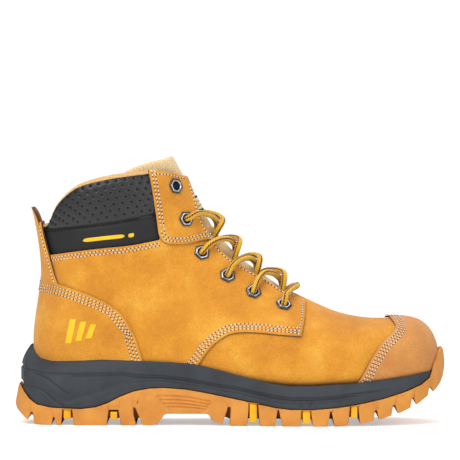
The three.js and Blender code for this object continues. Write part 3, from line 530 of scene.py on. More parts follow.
def nubuck(name, dark, mid, light, rough=0.88):
    """Nubuck: full-grain cowhide sanded to a short nap. Matt, with soft cloudy patches where the
    nap lies in other directions, a faint halo at grazing angles and a fine pore."""
    finish, tree, shader, at = start(name, Sheen_Weight=0.12, Sheen_Roughness=0.6,
                                     Specular_IOR_Level=0.25)
    cloud = noise(tree, at, 34, 4.0, 0.62)
    nap = noise(tree, at, 1.1, 3.0, 0.7)
    base = ramp(tree, cloud, [(0.3, dark), (0.52, mid), (0.72, light)])
    fleck = ramp(tree, nap, [(0.3, "#C9C9C9"), (0.62, "#FFFFFF")])
    tint = blend_colours(tree, 0.55, base, fleck, "MULTIPLY")
    tree.links.new(tint, shader.inputs["Base Color"])
    roughness = add(tree, "ShaderNodeMapRange", {"Value": cloud, "To Min": rough - 0.08,
                                                 "To Max": min(rough + 0.08, 1.0)})
    tree.links.new(roughness.outputs["Result"], shader.inputs["Roughness"])
    pore = noise(tree, at, 0.7, 4.0, 0.7)
    bump(tree, shader, [(cloud, 0.25, 0.8), (pore, 0.35, 0.12)])
    return finish


def fibrous(name, dark, light, size=0.5, rough=0.95):
    """Cut edge or flesh side of hide: loose fibres, darker and rougher than the grain side. On a
    cut edge the dark colours are also painted shadow, the dark line along a panel's edge.
    """
    finish, tree, shader, at = start(name, Roughness=rough, Sheen_Weight=0.2,
                                     Specular_IOR_Level=0.2)
    hair = noise(tree, at, size, 5.0, 0.75)
    tree.links.new(ramp(tree, hair, [(0.32, dark), (0.7, light)]), shader.inputs["Base Color"])
    bump(tree, shader, [(hair, 0.6, 0.25)])
    return finish


def moulded(name, dark, light, rough, grain=0.6, relief=0.1, level=0.4, coat=0.0):
    """Moulded rubber, polyurethane or plastic: one colour through, a fine mould texture and a
    slight scuffing that changes its gloss."""
    finish, tree, shader, at = start(name, Specular_IOR_Level=level, Coat_Weight=coat,
                                     Coat_Roughness=0.3)
    patch = noise(tree, at, 16, 3.0, 0.6)
    speck = noise(tree, at, grain, 3.0, 0.6)
    tree.links.new(ramp(tree, patch, [(0.3, dark), (0.7, light)]), shader.inputs["Base Color"])
    gloss = add(tree, "ShaderNodeMapRange", {"Value": patch, "To Min": rough - 0.07,
                                             "To Max": rough + 0.07})
    tree.links.new(gloss.outputs["Result"], shader.inputs["Roughness"])
    bump(tree, shader, [(speck, 0.4, relief)])
    return finish


def metal(name, dark, light, rough, size=0.8):
    """Plated or bare steel: a brushed streak in its gloss and a slight cloud in its tint."""
    finish, tree, shader, at = start(name, Metallic=1.0)
    streak = noise(tree, at, size, 4.0, 0.7)
    tree.links.new(ramp(tree, streak, [(0.3, dark), (0.7, light)]), shader.inputs["Base Color"])
    gloss = add(tree, "ShaderNodeMapRange", {"Value": streak, "To Min": rough - 0.06,
                                             "To Max": rough + 0.08})
    tree.links.new(gloss.outputs["Result"], shader.inputs["Roughness"])
    bump(tree, shader, [(streak, 0.12, 0.05)])
    return finish


def knitted(name, dark, light, cell=1.3, depth=0.35):
    """Spacer mesh: small open cells in a knitted face, matt, with a soft halo. The cells are
    drawn at their real pitch, a little over a millimetre."""
    finish, tree, shader, at = start(name, Roughness=0.95, Sheen_Weight=0.35,
                                     Sheen_Roughness=0.5, Specular_IOR_Level=0.15)
    cells = add(tree, "ShaderNodeTexVoronoi", {"Vector": at, "Scale": per_mm(cell),
                                               "Randomness": 0.35})
    patch = noise(tree, at, 22, 3.0, 0.6)
    # Painted shade: each open cell is coloured dark towards its middle, where shade falls into the
    # mesh.
    hole = ramp(tree, cells.outputs["Distance"], [(0.12, dark), (0.45, light)])
    shade = ramp(tree, patch, [(0.3, "#DDDDDD"), (0.7, "#FFFFFF")])
    tint = blend_colours(tree, 0.6, hole, shade, "MULTIPLY")
    tree.links.new(tint, shader.inputs["Base Color"])
    bump(tree, shader, [(cells.outputs["Distance"], 0.7, depth)])
    return finish


def coated_fabric(name, dark, light, gloss=(0.4, 0.52), coat=0.25):
    """Coated synthetic over foam: black, fine leather-like grain, softly shining where it is
    stretched over the padding."""
    finish, tree, shader, at = start(name, Specular_IOR_Level=0.5, Coat_Weight=coat,
                                     Coat_Roughness=0.35)
    grain = add(tree, "ShaderNodeTexVoronoi", {"Vector": at, "Scale": per_mm(0.9)})
    patch = noise(tree, at, 20, 3.0, 0.6)
    tree.links.new(ramp(tree, patch, [(0.3, dark), (0.72, light)]), shader.inputs["Base Color"])
    shine = add(tree, "ShaderNodeMapRange", {"Value": patch, "To Min": gloss[0],
                                             "To Max": gloss[1]})
    tree.links.new(shine.outputs["Result"], shader.inputs["Roughness"])
    bump(tree, shader, [(grain.outputs["Distance"], 0.25, 0.1)])
    return finish


CARRIERS = 8.0  # strands of the lace's braid that wind one way
LAY = 12  # length of one of their turns


def braid(name):
    """Round polyester braid: yellow with maroon carriers that run along it in broken lines, and a
    herringbone of strands. The UV map runs once round, and in millimetres along."""
    finish, tree, shader, _ = start(name, Roughness=0.75, Sheen_Weight=0.3,
                                    Specular_IOR_Level=0.3)
    uv = add(tree, "ShaderNodeUVMap", uv_map="UVMap").outputs["UV"]
    parts = add(tree, "ShaderNodeSeparateXYZ", {"Vector": uv})
    round_it, along = parts.outputs["X"], parts.outputs["Y"]

    def sum_of(a, b, operation="ADD"):
        return add(tree, "ShaderNodeMath", {0: a, 1: b}, operation=operation).outputs[0]

    # Two families of strands wind opposite ways.
    winding = []
    for way in (1, -1):
        phase = sum_of(sum_of(round_it, CARRIERS, "MULTIPLY"),
                       sum_of(along, way * CARRIERS / LAY, "MULTIPLY"))
        wave = add(tree, "ShaderNodeMath", {0: sum_of(phase, 2 * PI, "MULTIPLY")},
                   operation="SINE").outputs[0]
        winding.append(wave)
    strands = sum_of(winding[0], winding[1], "MAXIMUM")
    lanes = add(tree, "ShaderNodeMath", {0: sum_of(round_it, 3.0, "MULTIPLY")},
                operation="FRACT").outputs[0]
    wobble = sum_of(sum_of(winding[0], 0.05, "MULTIPLY"), lanes)
    lane = ramp(tree, wobble, [(0.0, "#F5C21A"), (0.36, "#F5C21A"), (0.42, "#7E2226"),
                               (0.62, "#8C262A"), (0.68, "#F7CB2C")])
    shade = ramp(tree, strands, [(0.15, "#A88C50"), (0.8, "#FFFFFF")])
    tint = blend_colours(tree, 0.8, lane, shade, "MULTIPLY")
    tree.links.new(tint, shader.inputs["Base Color"])
    bump(tree, shader, [(strands, 0.6, 0.2)])
    return finish


def woven_stripes(name, along_z, stripes):
    """Woven label: flat stripes across it by height, with a rib of threads 0.5 mm apart."""
    finish, tree, shader, at = start(name, Roughness=0.8, Sheen_Weight=0.2)
    uv = add(tree, "ShaderNodeUVMap", uv_map="UVMap").outputs["UV"]
    height = add(tree, "ShaderNodeSeparateXYZ", {"Vector": uv}).outputs["Y"]
    steps = ramp(tree, height, stripes)
    steps.node.color_ramp.interpolation = "CONSTANT"
    ribs = add(tree, "ShaderNodeTexWave", {"Vector": at, "Scale": per_mm(along_z) / 6.3,
                                           "Distortion": 1.0}, bands_direction="Z")
    # Painted shade: the ribs' waves darken the stripes in the grooves between the threads.
    tint = blend_colours(tree, 0.35, steps, ribs.outputs["Color"], "MULTIPLY")
    tree.links.new(tint, shader.inputs["Base Color"])
    bump(tree, shader, [(ribs.outputs["Fac"], 0.5, 0.15)])
    return finish


wheat = nubuck("wheat_nubuck", "#CA8022", "#DE952B", "#EBAC3F")
wheat_overlay = nubuck("wheat_nubuck_overlay", "#CC8324", "#E0982E", "#ECAE42")
amber = nubuck("amber_scuff_nubuck", "#C58042", "#D7924A", "#E1A258", 0.8)
# The cut edge's dark browns are partly the raw fibres' own colour and partly painted shadow: the
# dark line that falls along every panel's edge.
cut_edge_and_shadow = fibrous("raw_cut_edge_and_painted_shadow", "#3B2413", "#6B4524", 0.4)
flesh = fibrous("suede_flesh_side", "#6A4426", "#9A6B40", 0.8)
thread = moulded("cream_bonded_thread", "#DCD3C2", "#F3EDE0", 0.6, 0.35, 0.08)
needle_hole = moulded("needle_hole_shadow", "#2A1A0E", "#3A2615", 0.9)
black_cover = coated_fabric("black_coated_synthetic", "#101012", "#1D1E21")
black_band = coated_fabric("black_matt_band", "#0C0C0D", "#151517", (0.62, 0.74), 0.03)
black_thread = moulded("black_thread", "#0D0D0E", "#1B1B1D", 0.5, 0.35, 0.08)
pit = moulded("perforation_shadow", "#040404", "#0A0A0B", 0.8)
tan_mesh = knitted("tan_spacer_mesh", "#A77D45", "#E2B272")
tongue_mesh = knitted("tan_tongue_mesh", "#C8A26E", "#F5D5A2", 1.2)
lace_braid = braid("yellow_maroon_braid")
gunmetal = metal("gunmetal_plate", "#3F454F", "#5A616C", 0.34)
bright_ring = metal("worn_bright_rim", "#A9ADB4", "#D0D3D8", 0.2)
steel = metal("bare_spring_steel", "#8B8E93", "#B0B3B8", 0.35)
grey_sole = moulded("slate_polyurethane", "#303338", "#3B4046", 0.62, 0.5, 0.12, 0.35)
gum = moulded("gum_rubber", "#CB8133", "#E0993F", 0.55, 0.5, 0.1, 0.4)
yellow_rubber = moulded("yellow_rubber", "#E9A700", "#F7BC12", 0.5, 0.5, 0.1, 0.45)
black_rubber = moulded("black_rubber", "#151515", "#232323", 0.7)
cap_paint = moulded("epoxy_coated_cap", "#3C3F44", "#4A4E54", 0.45, 0.5, 0.05, 0.5, 0.3)
stiffener = moulded("thermoplastic_sheet", "#CFC7B4", "#E2DBC9", 0.7)
board = fibrous("fibre_board", "#8E7A58", "#BDA77F", 0.9, 0.9)
clear_sleeve = moulded("amber_aglet_sleeve", "#6E4A14", "#8E641C", 0.25, 0.8, 0.02, 0.5, 0.5)
yellow_print = moulded("yellow_transfer", "#EDB812", "#F8CB28", 0.55, 0.5, 0.05)
insock = knitted("charcoal_insock", "#1C1D20", "#3A3D42", 1.6, 0.3)
label_weave = woven_stripes("striped_label_weave", 0.5, [
    (0.0, "#1B1B1C"), (0.16, "#EDEDE8"), (0.31, "#E3B21E"), (0.44, "#EDEDE8"),
    (0.59, "#E3B21E"), (0.7, "#EDEDE8"), (0.86, "#1B1B1C")])

# ---- Depths and outlines --------------------------------------------------------------------

GAP = 0.3
LEATHER = 1.7
OVERLAY = (1.9, GAP)
QUARTER = (0.0, -LEATHER)
VAMP = (-2.0, -3.7)
STAY = (-2.0, -3.6)
LINING = (-6.3, -7.5)

COLLAR_TOP = [[-137.6, 140.6], [-132.5, 141.8], [-124.6, 156.1], [-116, 164.7], [-107.4, 170],
              [-90.2, 174.7], [-73, 177.6], [-57.3, 179.7]]
COLLAR_LOW = [[-136.2, 117.5], [-126.2, 119.4], [-110.3, 121.9], [-90.2, 124.4], [-70.2, 126.4],
              [-49.4, 130.3]]
COLLAR_SEAM = [[-138, 136.2], [-131.7, 136.4], [-121.7, 137.5], [-100.2, 139.6], [-78.8, 142.5],
               [-60.1, 146.1], [-50, 148]]
FACING_EDGE = [[-31.5, 174], [-26.5, 161.1], [-20.8, 143.9], [-15, 133.9], [-9.3, 126.7],
               [-2.1, 118.9], [5, 113.8], [14.3, 108.1], [23.6, 103.1], [30.8, 98.5], [38, 94],
               [46.5, 91.6], [53.7, 87]]
PATCH_TOP = [[-58, 179.7], [-44.4, 177.9], [-35.8, 175.4], [-31.5, 174]]
PATCH_BACK = [[-58, 179.7], [-55.4, 166.1], [-53, 151.1], [-51.2, 138.5]]
PATCH_LOW = [[-51.2, 138.5], [-50.4, 133.8], [-48.4, 130.2], [-44.9, 127.9], [-38, 127.1],
             [-29.8, 127.6], [-19.4, 129.5], [-11.7, 129.6]]
HEEL_EDGE = [[-137, 101], [-122.4, 99.2], [-111, 95.9], [-101.7, 92.7], [-93.1, 89.1],
             [-83.8, 84.1], [-75.9, 77.3], [-70.2, 68.7], [-65.9, 60.1], [-61.6, 46.5],
             [-57, 34]]
QUARTER_LOW = [[-33, 30], [-28.5, 36], [-22.3, 43], [-18.5, 48.4], [-13.8, 54.6], [-7.6, 60.1],
               [0, 64.4], [8.6, 65.7], [20.3, 65.5], [32, 64.4], [50.1, 63.2]]
QUARTER_FRONT = [[50.1, 63.2], [53, 77.3], [53.7, 87]]
TOE_EDGE = [[110, 80], [117.2, 70.2], [114.6, 65.2], [107.9, 59.3], [100.2, 48.3], [93.7, 36.2],
            [89.9, 30.2], [84, 24]]
RIM = [[-140.7, 55.8], [-138.2, 50.2], [-134.4, 46.6], [-126, 44.7], [-103.1, 45.3],
       [-90.2, 46], [-60.9, 45.2], [-42.2, 44.5], [-28.6, 43.5], [-18.9, 41.9], [-2.9, 37.9],
       [12.9, 33.7], [28.6, 30.1], [41.5, 28.4], [58.7, 28.4], [89.5, 30.2], [113.1, 32.9],
       [129.6, 35.1], [143.5, 37.7]]
SOLE_LINE = [[-152, 30], [-149, 28.6], [-146.1, 23.6], [-141.8, 18.3], [-136.5, 14.5],
             [-126, 12.5], [-105.3, 11.7], [-94.5, 13], [-85.9, 16.1], [-77.7, 20.3],
             [-68.2, 24], [-57.7, 26.1], [-47.3, 26.6], [-31.5, 25.6], [-15.8, 22.9],
             [7.2, 18.3], [31.2, 13.2], [42.2, 11.9], [58.7, 11.9], [75.2, 13.2], [91.6, 15.8],
             [108.1, 19.3], [124.6, 24.2], [135.3, 28.6], [141.1, 32.9], [143.5, 37.7]]
SOLE_PLAN = [[-152.8, 0], [-149, -18], [-139, -31], [-121, -39.5], [-100, -42], [-75, -42],
             [-45, -42], [-15, -45], [15, -50], [40, -54.5], [62, -56], [85, -54.5], [108, -49],
             [128, -39.5], [142, -26], [150, -9], [152.7, 6], [150, 22], [141, 37], [127, 47],
             [108, 53.5], [85, 56], [62, 55.5], [40, 51], [15, 44], [-10, 39.5], [-40, 37.5],
             [-70, 38.5], [-95, 40.5], [-121, 38.5], [-139, 30], [-149, 17]]


def below_rim(x, drop=9.0):
    """Side-view height a little under the midsole's rim, where the upper's edge is hidden."""
    line = np.array(RIM)
    return np.interp(x, line[:, 0], line[:, 1]) - drop


def hidden_edge(x_from, x_to, drop=9.0):
    """The hidden lower edge of a panel as a chart line."""
    x = np.linspace(x_from, x_to, max(int(abs(x_to - x_from) / 3), 4))
    return locate(np.stack([x, below_rim(x, drop)], -1))


def loop_of(*lines):
    """Chart lines end to end, as one closed outline with even points about 0.9 mm apart."""
    chart = np.vstack(lines)
    place = skin_point(chart[:, 0], chart[:, 1])
    far = np.linalg.norm(place - np.roll(place, 1, 0), axis=1) > 0.05
    chart, place = chart[far], place[far]
    chart = np.vstack([chart, chart[:1]])
    place = np.vstack([place, place[:1]])
    run = run_of(place)
    at = np.linspace(0, run[-1], int(run[-1] / 0.9) + 1)[:-1]
    return read_at(at, run, chart)


def both(half):
    """A half outline that starts and ends on the middle line, closed by its mirror image."""
    other = mirrored(half)[::-1]
    if half[:, 1].max() > 2:
        other = other + [0, 2 * PI]
    return loop_of(half, other)


def leather_relief(place, u, angle):
    """Low swells in soft hide: three crossed sines, a tenth of a millimetre high."""
    x, y, z = place.T
    return 0.07 * (np.sin(x / 9.1 + z / 14) + np.sin(z / 7.7 - x / 21) + np.sin(y / 8 + x / 16))


# ---- Stitching ------------------------------------------------------------------------------

PITCH = 2.75  # one stitch and its gap
THREAD = 0.72  # width of a stitch


def stitch_shape(length, width, height):
    """A stitch: a half-sunk capsule. Its radius follows a circle's arc towards both ends."""
    along = np.linspace(-1, 1, 6)
    size = np.sqrt(np.maximum(1 - np.abs(along) ** 3.2, 0.05))
    angles = round_angles(6)
    rows = np.stack([
        np.repeat(along[:, None] * length / 2, 6, 1),
        size[:, None] * np.cos(angles) * width / 2,
        size[:, None] * np.sin(angles) * height / 2 + height * 0.18], -1)
    return loft(rows)


def hole_shape(radius):
    """A needle hole: a shallow cone that sinks below the grain."""
    return loft(np.stack([circle(7, radius, -0.3), circle(7, radius, 0.09) * [1.25, 1, 1]]))


def seam_frames(chart, depth, phase):
    """Places one pitch apart along a chart line, with axes along, across and out."""
    place = skin(chart[:, 0], chart[:, 1], np.full(len(chart), depth))
    run = run_of(place)
    at = np.arange(PITCH * (0.5 + phase), run[-1] - PITCH * 0.3, PITCH)
    spot = read_at(at, run, chart)
    here = skin(spot[:, 0], spot[:, 1], np.full(len(spot), depth))
    ahead, behind = read_at(at + 0.5, run, place), read_at(at - 0.5, run, place)
    out = skin_normal(spot[:, 0], spot[:, 1])
    x = unit(ahead - behind)
    y = unit(np.cross(out, x))
    return here, x, y, np.cross(x, y)


def stitching(name, rows, slot="nubuck"):
    """Rows of stitches with a needle hole at each end. rows holds (chart line, depth). Every row
    starts a little later than the one before, so that neighbours don't line up."""
    thread_parts, hole_parts = [], []
    base, base_faces = stitch_shape(PITCH * 0.66, THREAD, THREAD * 0.8)
    dip, dip_faces = hole_shape(THREAD * 0.62)
    for i, (line, depth) in enumerate(rows):
        stagger = 0.23 * (i % 3)
        thread_parts.append(scatter(base, base_faces, *seam_frames(line, depth, stagger)))
        hole_parts.append(scatter(dip, dip_faces, *seam_frames(line, depth, 0.5 + stagger)))
    for suffix, parts, look in (("", thread_parts, thread), ("_holes", hole_parts, needle_hole)):
        verts = np.vstack([v for v, _ in parts])
        faces, start_at = [], 0
        for v, fs in parts:
            faces += [f + start_at for f in fs]
            start_at += len(v)
        build(name + suffix, verts, faces, look, slot=slot)


def rows_beside(line, distances, depth):
    """The same chart line moved sideways by each distance, for parallel rows."""
    return [(beside(line, d), depth) for d in distances]


def both_sides_of(rows):
    """Rows of stitches on the outer side, and again on the inner side."""
    return rows + [(mirrored(line), depth) for line, depth in rows]


# ---- Upper ----------------------------------------------------------------------------------

LEATHER_FACES = [wheat, cut_edge_and_shadow, flesh]
OVERLAY_FACES = [wheat_overlay, cut_edge_and_shadow, flesh]
ON_HIDE = 0.1  # depth of the stitches that lie on the quarters and the vamp
ON_OVERLAY = OVERLAY[0] + 0.1


def heel_line(u_from, u_to, count=40):
    """A chart line up the middle of the heel."""
    return np.stack([np.linspace(u_from, u_to, count), np.zeros(count)], -1)


heel_edge = trace(HEEL_EDGE)
toe_edge = trace(TOE_EDGE)
low_edge = trace(QUARTER_LOW)
front_edge = trace(QUARTER_FRONT)
facing_edge = trace(FACING_EDGE)
collar_low = trace(COLLAR_LOW)
patch_top, patch_back, patch_low = trace(PATCH_TOP), trace(PATCH_BACK), trace(PATCH_LOW)


def as_traced(chart):
    """The same line on the outer side, where it was traced."""
    return chart


def quarter(side, turned):
    """One side of the boot: from the back seam along the collar, under the facing patch, down
    the facing's edge and the front, and back along the vamp seam and the hidden lower edge."""
    back_seam = heel_line(16.3, 20.9)
    back_seam[:, 1] = 0.012
    under_patch = trace([[-49.4, 130.3], [-49, 140], [-51, 160], [-54, 177.5], [-44, 176.5],
                         [-33.2, 172.6]])
    outline = loop_of(back_seam, collar_low[1:], under_patch[1:], facing_edge[1:],
                      front_edge[::-1][1:], low_edge[::-1][1:], hidden_edge(-36, -132, 12))
    panel("quarter_" + side + "_hide", turned(outline), *QUARTER, LEATHER_FACES,
          relief=leather_relief, slot="nubuck", stands_for=["quarter_" + side])
    rows = rows_beside(low_edge, (-2.3, -4.3, -6.3), ON_HIDE)
    rows += rows_beside(front_edge, (-2.2,), ON_HIDE)
    rows += rows_beside(trace(FACING_EDGE[3:-1]), (2.2,), ON_HIDE)
    rows += rows_beside(collar_low[4:], (2.0, 4.0), ON_HIDE)
    stitching("quarter_" + side + "_stitching", [(turned(c), d) for c, d in rows])


def facing_patch(side, turned):
    """The patch that carries the two top eyelets, with two rows at its back and low edges."""
    outline = loop_of(patch_top[::-1][1:], patch_back[1:], patch_low[1:],
                      trace(FACING_EDGE[:5])[::-1])
    panel("facing_patch_" + side + "_hide", turned(outline), *OVERLAY, OVERLAY_FACES,
          relief=leather_relief, slot="overlay_nubuck", stands_for=["facing_patch_" + side])
    rows = rows_beside(patch_back, (-2.0, -4.2), ON_OVERLAY)
    rows += rows_beside(patch_low, (-2.0, -4.2), ON_OVERLAY)
    rows += rows_beside(patch_top[3:-3], (2.2,), ON_OVERLAY)
    rows += rows_beside(trace(FACING_EDGE[:5])[4:], (2.2,), ON_OVERLAY)
    stitching("facing_patch_" + side + "_stitching", [(turned(c), d) for c, d in rows],
              slot="overlay_nubuck")


def eyelet_stay(side, turned):
    """The leather strip that backs the eyelets, 1.9 mm in from the facing's edge."""
    outline = loop_of(trace([[36, 76], [22, 79], [0, 90], [-22, 105], [-38, 124], [-42.5, 140],
                             [-46.8, 165], [-48.4, 175], [-37, 172.6]]),
                      beside(trace(FACING_EDGE[1:-1]), 1.9),
                      trace([[47, 88], [43.5, 81.5], [36, 76]]))
    panel("eyelet_stay_" + side + "_hide", turned(outline), *STAY, [flesh, cut_edge_and_shadow, flesh],
          spacing=3.5, slot="stay_leather", stands_for=["eyelet_stay_" + side])


def vamp():
    """The front of the boot under quarters and toe guard: half an outline and its mirror image."""
    ridge_start = np.array([[7.0, PI]])
    back = trace([[47.5, 110], [47.2, 95], [46.5, 80], [36, 74.5], [10, 74], [-5, 72],
                  [-18, 65], [-27, 54], [-33, 43], [-38, 31]])
    front = trace([[101, 28], [108, 44], [116, 57], [125, 68], [124, 90]])
    outline = both(np.vstack([ridge_start, back, hidden_edge(-30, 98), front]))
    panel("vamp_hide", outline, *VAMP, LEATHER_FACES, relief=leather_relief, slot="nubuck",
          stands_for=["vamp"])


def toe_guard():
    """The scuff guard over the toe, closed round the front of the last, with three rows."""
    front = np.stack([np.full(20, 0.25), np.linspace(0.6, PI, 20)], -1)
    outline = both(np.vstack([toe_edge, hidden_edge(92, 144.5), front]))
    panel("toe_guard_hide", outline, *QUARTER, [amber, cut_edge_and_shadow, flesh], relief=leather_relief,
          slot="toe_nubuck", stands_for=["toe_guard"])
    rows = rows_beside(toe_edge, (-2.3, -4.5, -6.7), ON_HIDE)
    stitching("toe_guard_stitching", both_sides_of(rows), slot="toe_nubuck")


def heel_guard():
    """The overlay round the heel, with three rows along its upper edge."""
    outline = both(np.vstack([heel_edge, hidden_edge(-60, -134, 12), heel_line(16.2, 16.25, 2)]))
    panel("heel_guard_hide", outline, *OVERLAY, OVERLAY_FACES, relief=leather_relief,
          slot="overlay_nubuck", stands_for=["heel_guard"])
    rows = rows_beside(heel_edge, (2.4, 4.6, 6.8), ON_OVERLAY)
    stitching("heel_guard_stitching", both_sides_of(rows), slot="overlay_nubuck")


for side, turned in (("outer", as_traced), ("inner", mirrored)):
    quarter(side, turned)
    facing_patch(side, turned)
    eyelet_stay(side, turned)
vamp()
toe_guard()
heel_guard()

# ---- Heel strip, pull tab and collar --------------------------------------------------------


def heel_strip():
    """The narrow strip up the back seam, from the heel guard to the pull tab."""
    edge = trace([[-120.6, 98.5], [-122.4, 103], [-127.2, 119.6], [-131.2, 134.4],
                  [-132.6, 143.4]])
    outline = both(np.vstack([edge, heel_line(22.25, 22.2, 2)[::-1], heel_line(19.6, 19.5, 2)[:1]]))
    panel("heel_strip_hide", outline, *OVERLAY, OVERLAY_FACES, relief=leather_relief,
          slot="overlay_nubuck", stands_for=["backstay"])
    rows = rows_beside(edge[3:-2], (-2.3,), ON_OVERLAY)
    stitching("heel_strip_stitching", both_sides_of(rows), slot="overlay_nubuck")


TAB_THICK = 2.0  # two layers of hide, pressed flat


def pull_tab():
    """The heel strip's free end, folded to a tab. It starts on the strip's own curve, traced
    across the heel, and leans back as the rise to the power 1.4 while it flattens; its sides
    narrow and its top corners are rounded off."""
    rise = np.linspace(0, 1, 30)
    across = np.linspace(-1, 1, 33)
    half = (14.6 - 1.1 * rise) * np.sqrt(1 - 0.42 * rise ** 14)
    v, h = np.meshgrid(rise, across, indexing="ij")
    width = half[:, None] * h
    base_u = locate(COLLAR_TOP[:1])[0, 0]
    root = skin(np.full(80, base_u), np.linspace(0, 1, 80), np.full(80, OVERLAY[0] + 0.15))
    base_x = np.interp(np.abs(width), np.abs(root[:, 1]), root[:, 0])
    back = root[0, 0]
    z = 139.6 + 13.6 * v - 0.6 * h ** 4 * v - 1.2 * np.abs(h) ** 6 * v ** 3
    x = back + (base_x - back) * (1 - 0.35 * v) - 2.9 * v ** 1.4
    face = np.stack([x, width, z], -1)
    inner_face = face + np.stack([np.full_like(x, TAB_THICK), 0 * x, 0.25 * v], -1)
    rows = np.concatenate([face, inner_face[:, ::-1]], axis=1)
    verts, faces = loft(rows)
    n = face.shape[1]
    column = np.tile(np.arange(2 * n), len(rise) - 1)
    sides = np.where(column < n - 1, 0, np.where(column == n - 1, 1, 2))
    sides[column == 2 * n - 1] = 1
    index = np.ones(sum(len(f) for f in faces), int)
    index[:len(sides)] = sides
    piece = build("pull_tab_hide", verts, faces, OVERLAY_FACES, body=None, slot="overlay_nubuck",
                  stands_for=["pull_tab"], index=index, crisp=50)
    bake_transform(piece)


heel_strip()
pull_tab()

SIDE_LOW, SIDE_TOP, SIDE_SEAM = (np.array(line) for line in (COLLAR_LOW, COLLAR_TOP, COLLAR_SEAM))


def side_height(line, x):
    """Height of a side-view line at x."""
    return np.interp(x, line[:, 0], line[:, 1])


def collar_swell(x, z):
    """How far the padded collar stands out: one pillow above the seam and a flatter one below,
    each half a sine, with a narrow valley where the seam pulls them in."""
    low, seam, top = (side_height(line, x) for line in (SIDE_LOW, SIDE_SEAM, SIDE_TOP))
    above = np.clip((z - seam) / np.maximum(top - seam, 3), 0, 1)
    under = np.clip((z - low) / np.maximum(seam - low, 3), 0, 1)
    back = 0.35 + 0.65 * ease((x + 134) / 34)
    pillow = np.where(z > seam, 2.6 * back * np.sin(PI * above ** 0.8) ** 0.65,
                      1.2 * back * np.sin(PI * under) ** 0.6)
    valley = np.exp(-((z - seam) / 1.1) ** 2)
    return pillow * (1 - 0.6 * valley) - 0.55 * valley


def collar_pairs(count):
    """Matching places on the collar's lower and upper edges, from the outer front round the back
    to the inner front: each edge is shared out evenly by its length."""
    share = np.linspace(0, 1, count)
    out = []
    for line in (COLLAR_LOW, COLLAR_TOP):
        chart = trace(line, 0.5)
        chart[0, 1] = 0
        place = skin_point(chart[:, 0], chart[:, 1])
        run = run_of(place)
        half = read_at(share * run[-1], run, chart)
        out.append(np.vstack([half[::-1], mirrored(half)[1:]]))
    return out


COLLAR_OUT = -1.9  # depth of the collar's cover where it starts to swell
ROLL = 4.3  # radius of the rolled top line


def collar_profile(low, top, steps, roll_from, roll_to, inside_to, raise_by=0.0, n_roll=14):
    """Chart places and depths across the collar. Outside, steps climb from the lower edge to the
    top line; then a half circle rolls over it; then the steps go down inside as far as
    inside_to, a share of the way to the lower edge."""
    length = np.linalg.norm(skin_point(*top.T) - skin_point(*low.T), axis=1)
    rows = []
    crown = 1 - ROLL * 1.2 / length
    for v in steps:
        chart = low + (top - low) * (crown * v)[:, None]
        place = skin_point(*chart.T)
        rows.append((chart, COLLAR_OUT + collar_swell(place[:, 0], place[:, 2]) + raise_by))
    for angle in np.linspace(roll_from, roll_to, n_roll):
        up = (ROLL + raise_by) * math.sin(angle)
        chart = low + (top - low) * (crown + up / length)[:, None]
        chart[:, 0] = np.minimum(chart[:, 0], LAST)
        deep = COLLAR_OUT - ROLL + (ROLL + raise_by) * math.cos(angle)
        rows.append((chart, np.full(len(top), deep)))
    if inside_to is not None:
        for v in np.linspace(0.99, inside_to, 30):
            chart = low + (top - low) * (crown * v)[:, None]
            puff = 2.0 * np.sin(PI * np.clip((v - inside_to) / (1 - inside_to), 0, 1)) ** 0.7
            rib = 0.5 * math.cos((v - 0.2) * 2.5 * 2 * PI)
            rows.append((chart, np.full(len(top), COLLAR_OUT - 2 * ROLL - raise_by - puff + rib)))
    return rows


def lift_rows(rows, extra=0.0):
    """Rows of chart places and depths as points."""
    return np.stack([skin(c[:, 0], c[:, 1], d + extra) for c, d in rows])


low_pair, top_pair = collar_pairs(230)
HOLE_PITCH = 6.3  # distance between perforations in a row
ROW_PITCH = 3.9
FIRST_ROW = 4.6  # below the top line


def perforations():
    """Hole places above the seam: level rows, every other one shifted by half a pitch."""
    spots = []
    length = np.linalg.norm(skin_point(*top_pair.T) - skin_point(*low_pair.T), axis=1)
    for row in range(12):
        share = 1 - (FIRST_ROW + ROW_PITCH * row) / np.maximum(length, 1)
        chart = low_pair + (top_pair - low_pair) * share[:, None]
        place = skin_point(*chart.T)
        run = run_of(place)
        at = np.arange(HOLE_PITCH * (0.5 if row % 2 else 1.0), run[-1], HOLE_PITCH)
        spot = read_at(at, run, chart)
        here = skin_point(*spot.T)
        keep = (here[:, 2] > side_height(SIDE_SEAM, here[:, 0]) + 2.2) & (here[:, 0] < -55)
        spots.append(spot[keep])
    return np.vstack(spots)


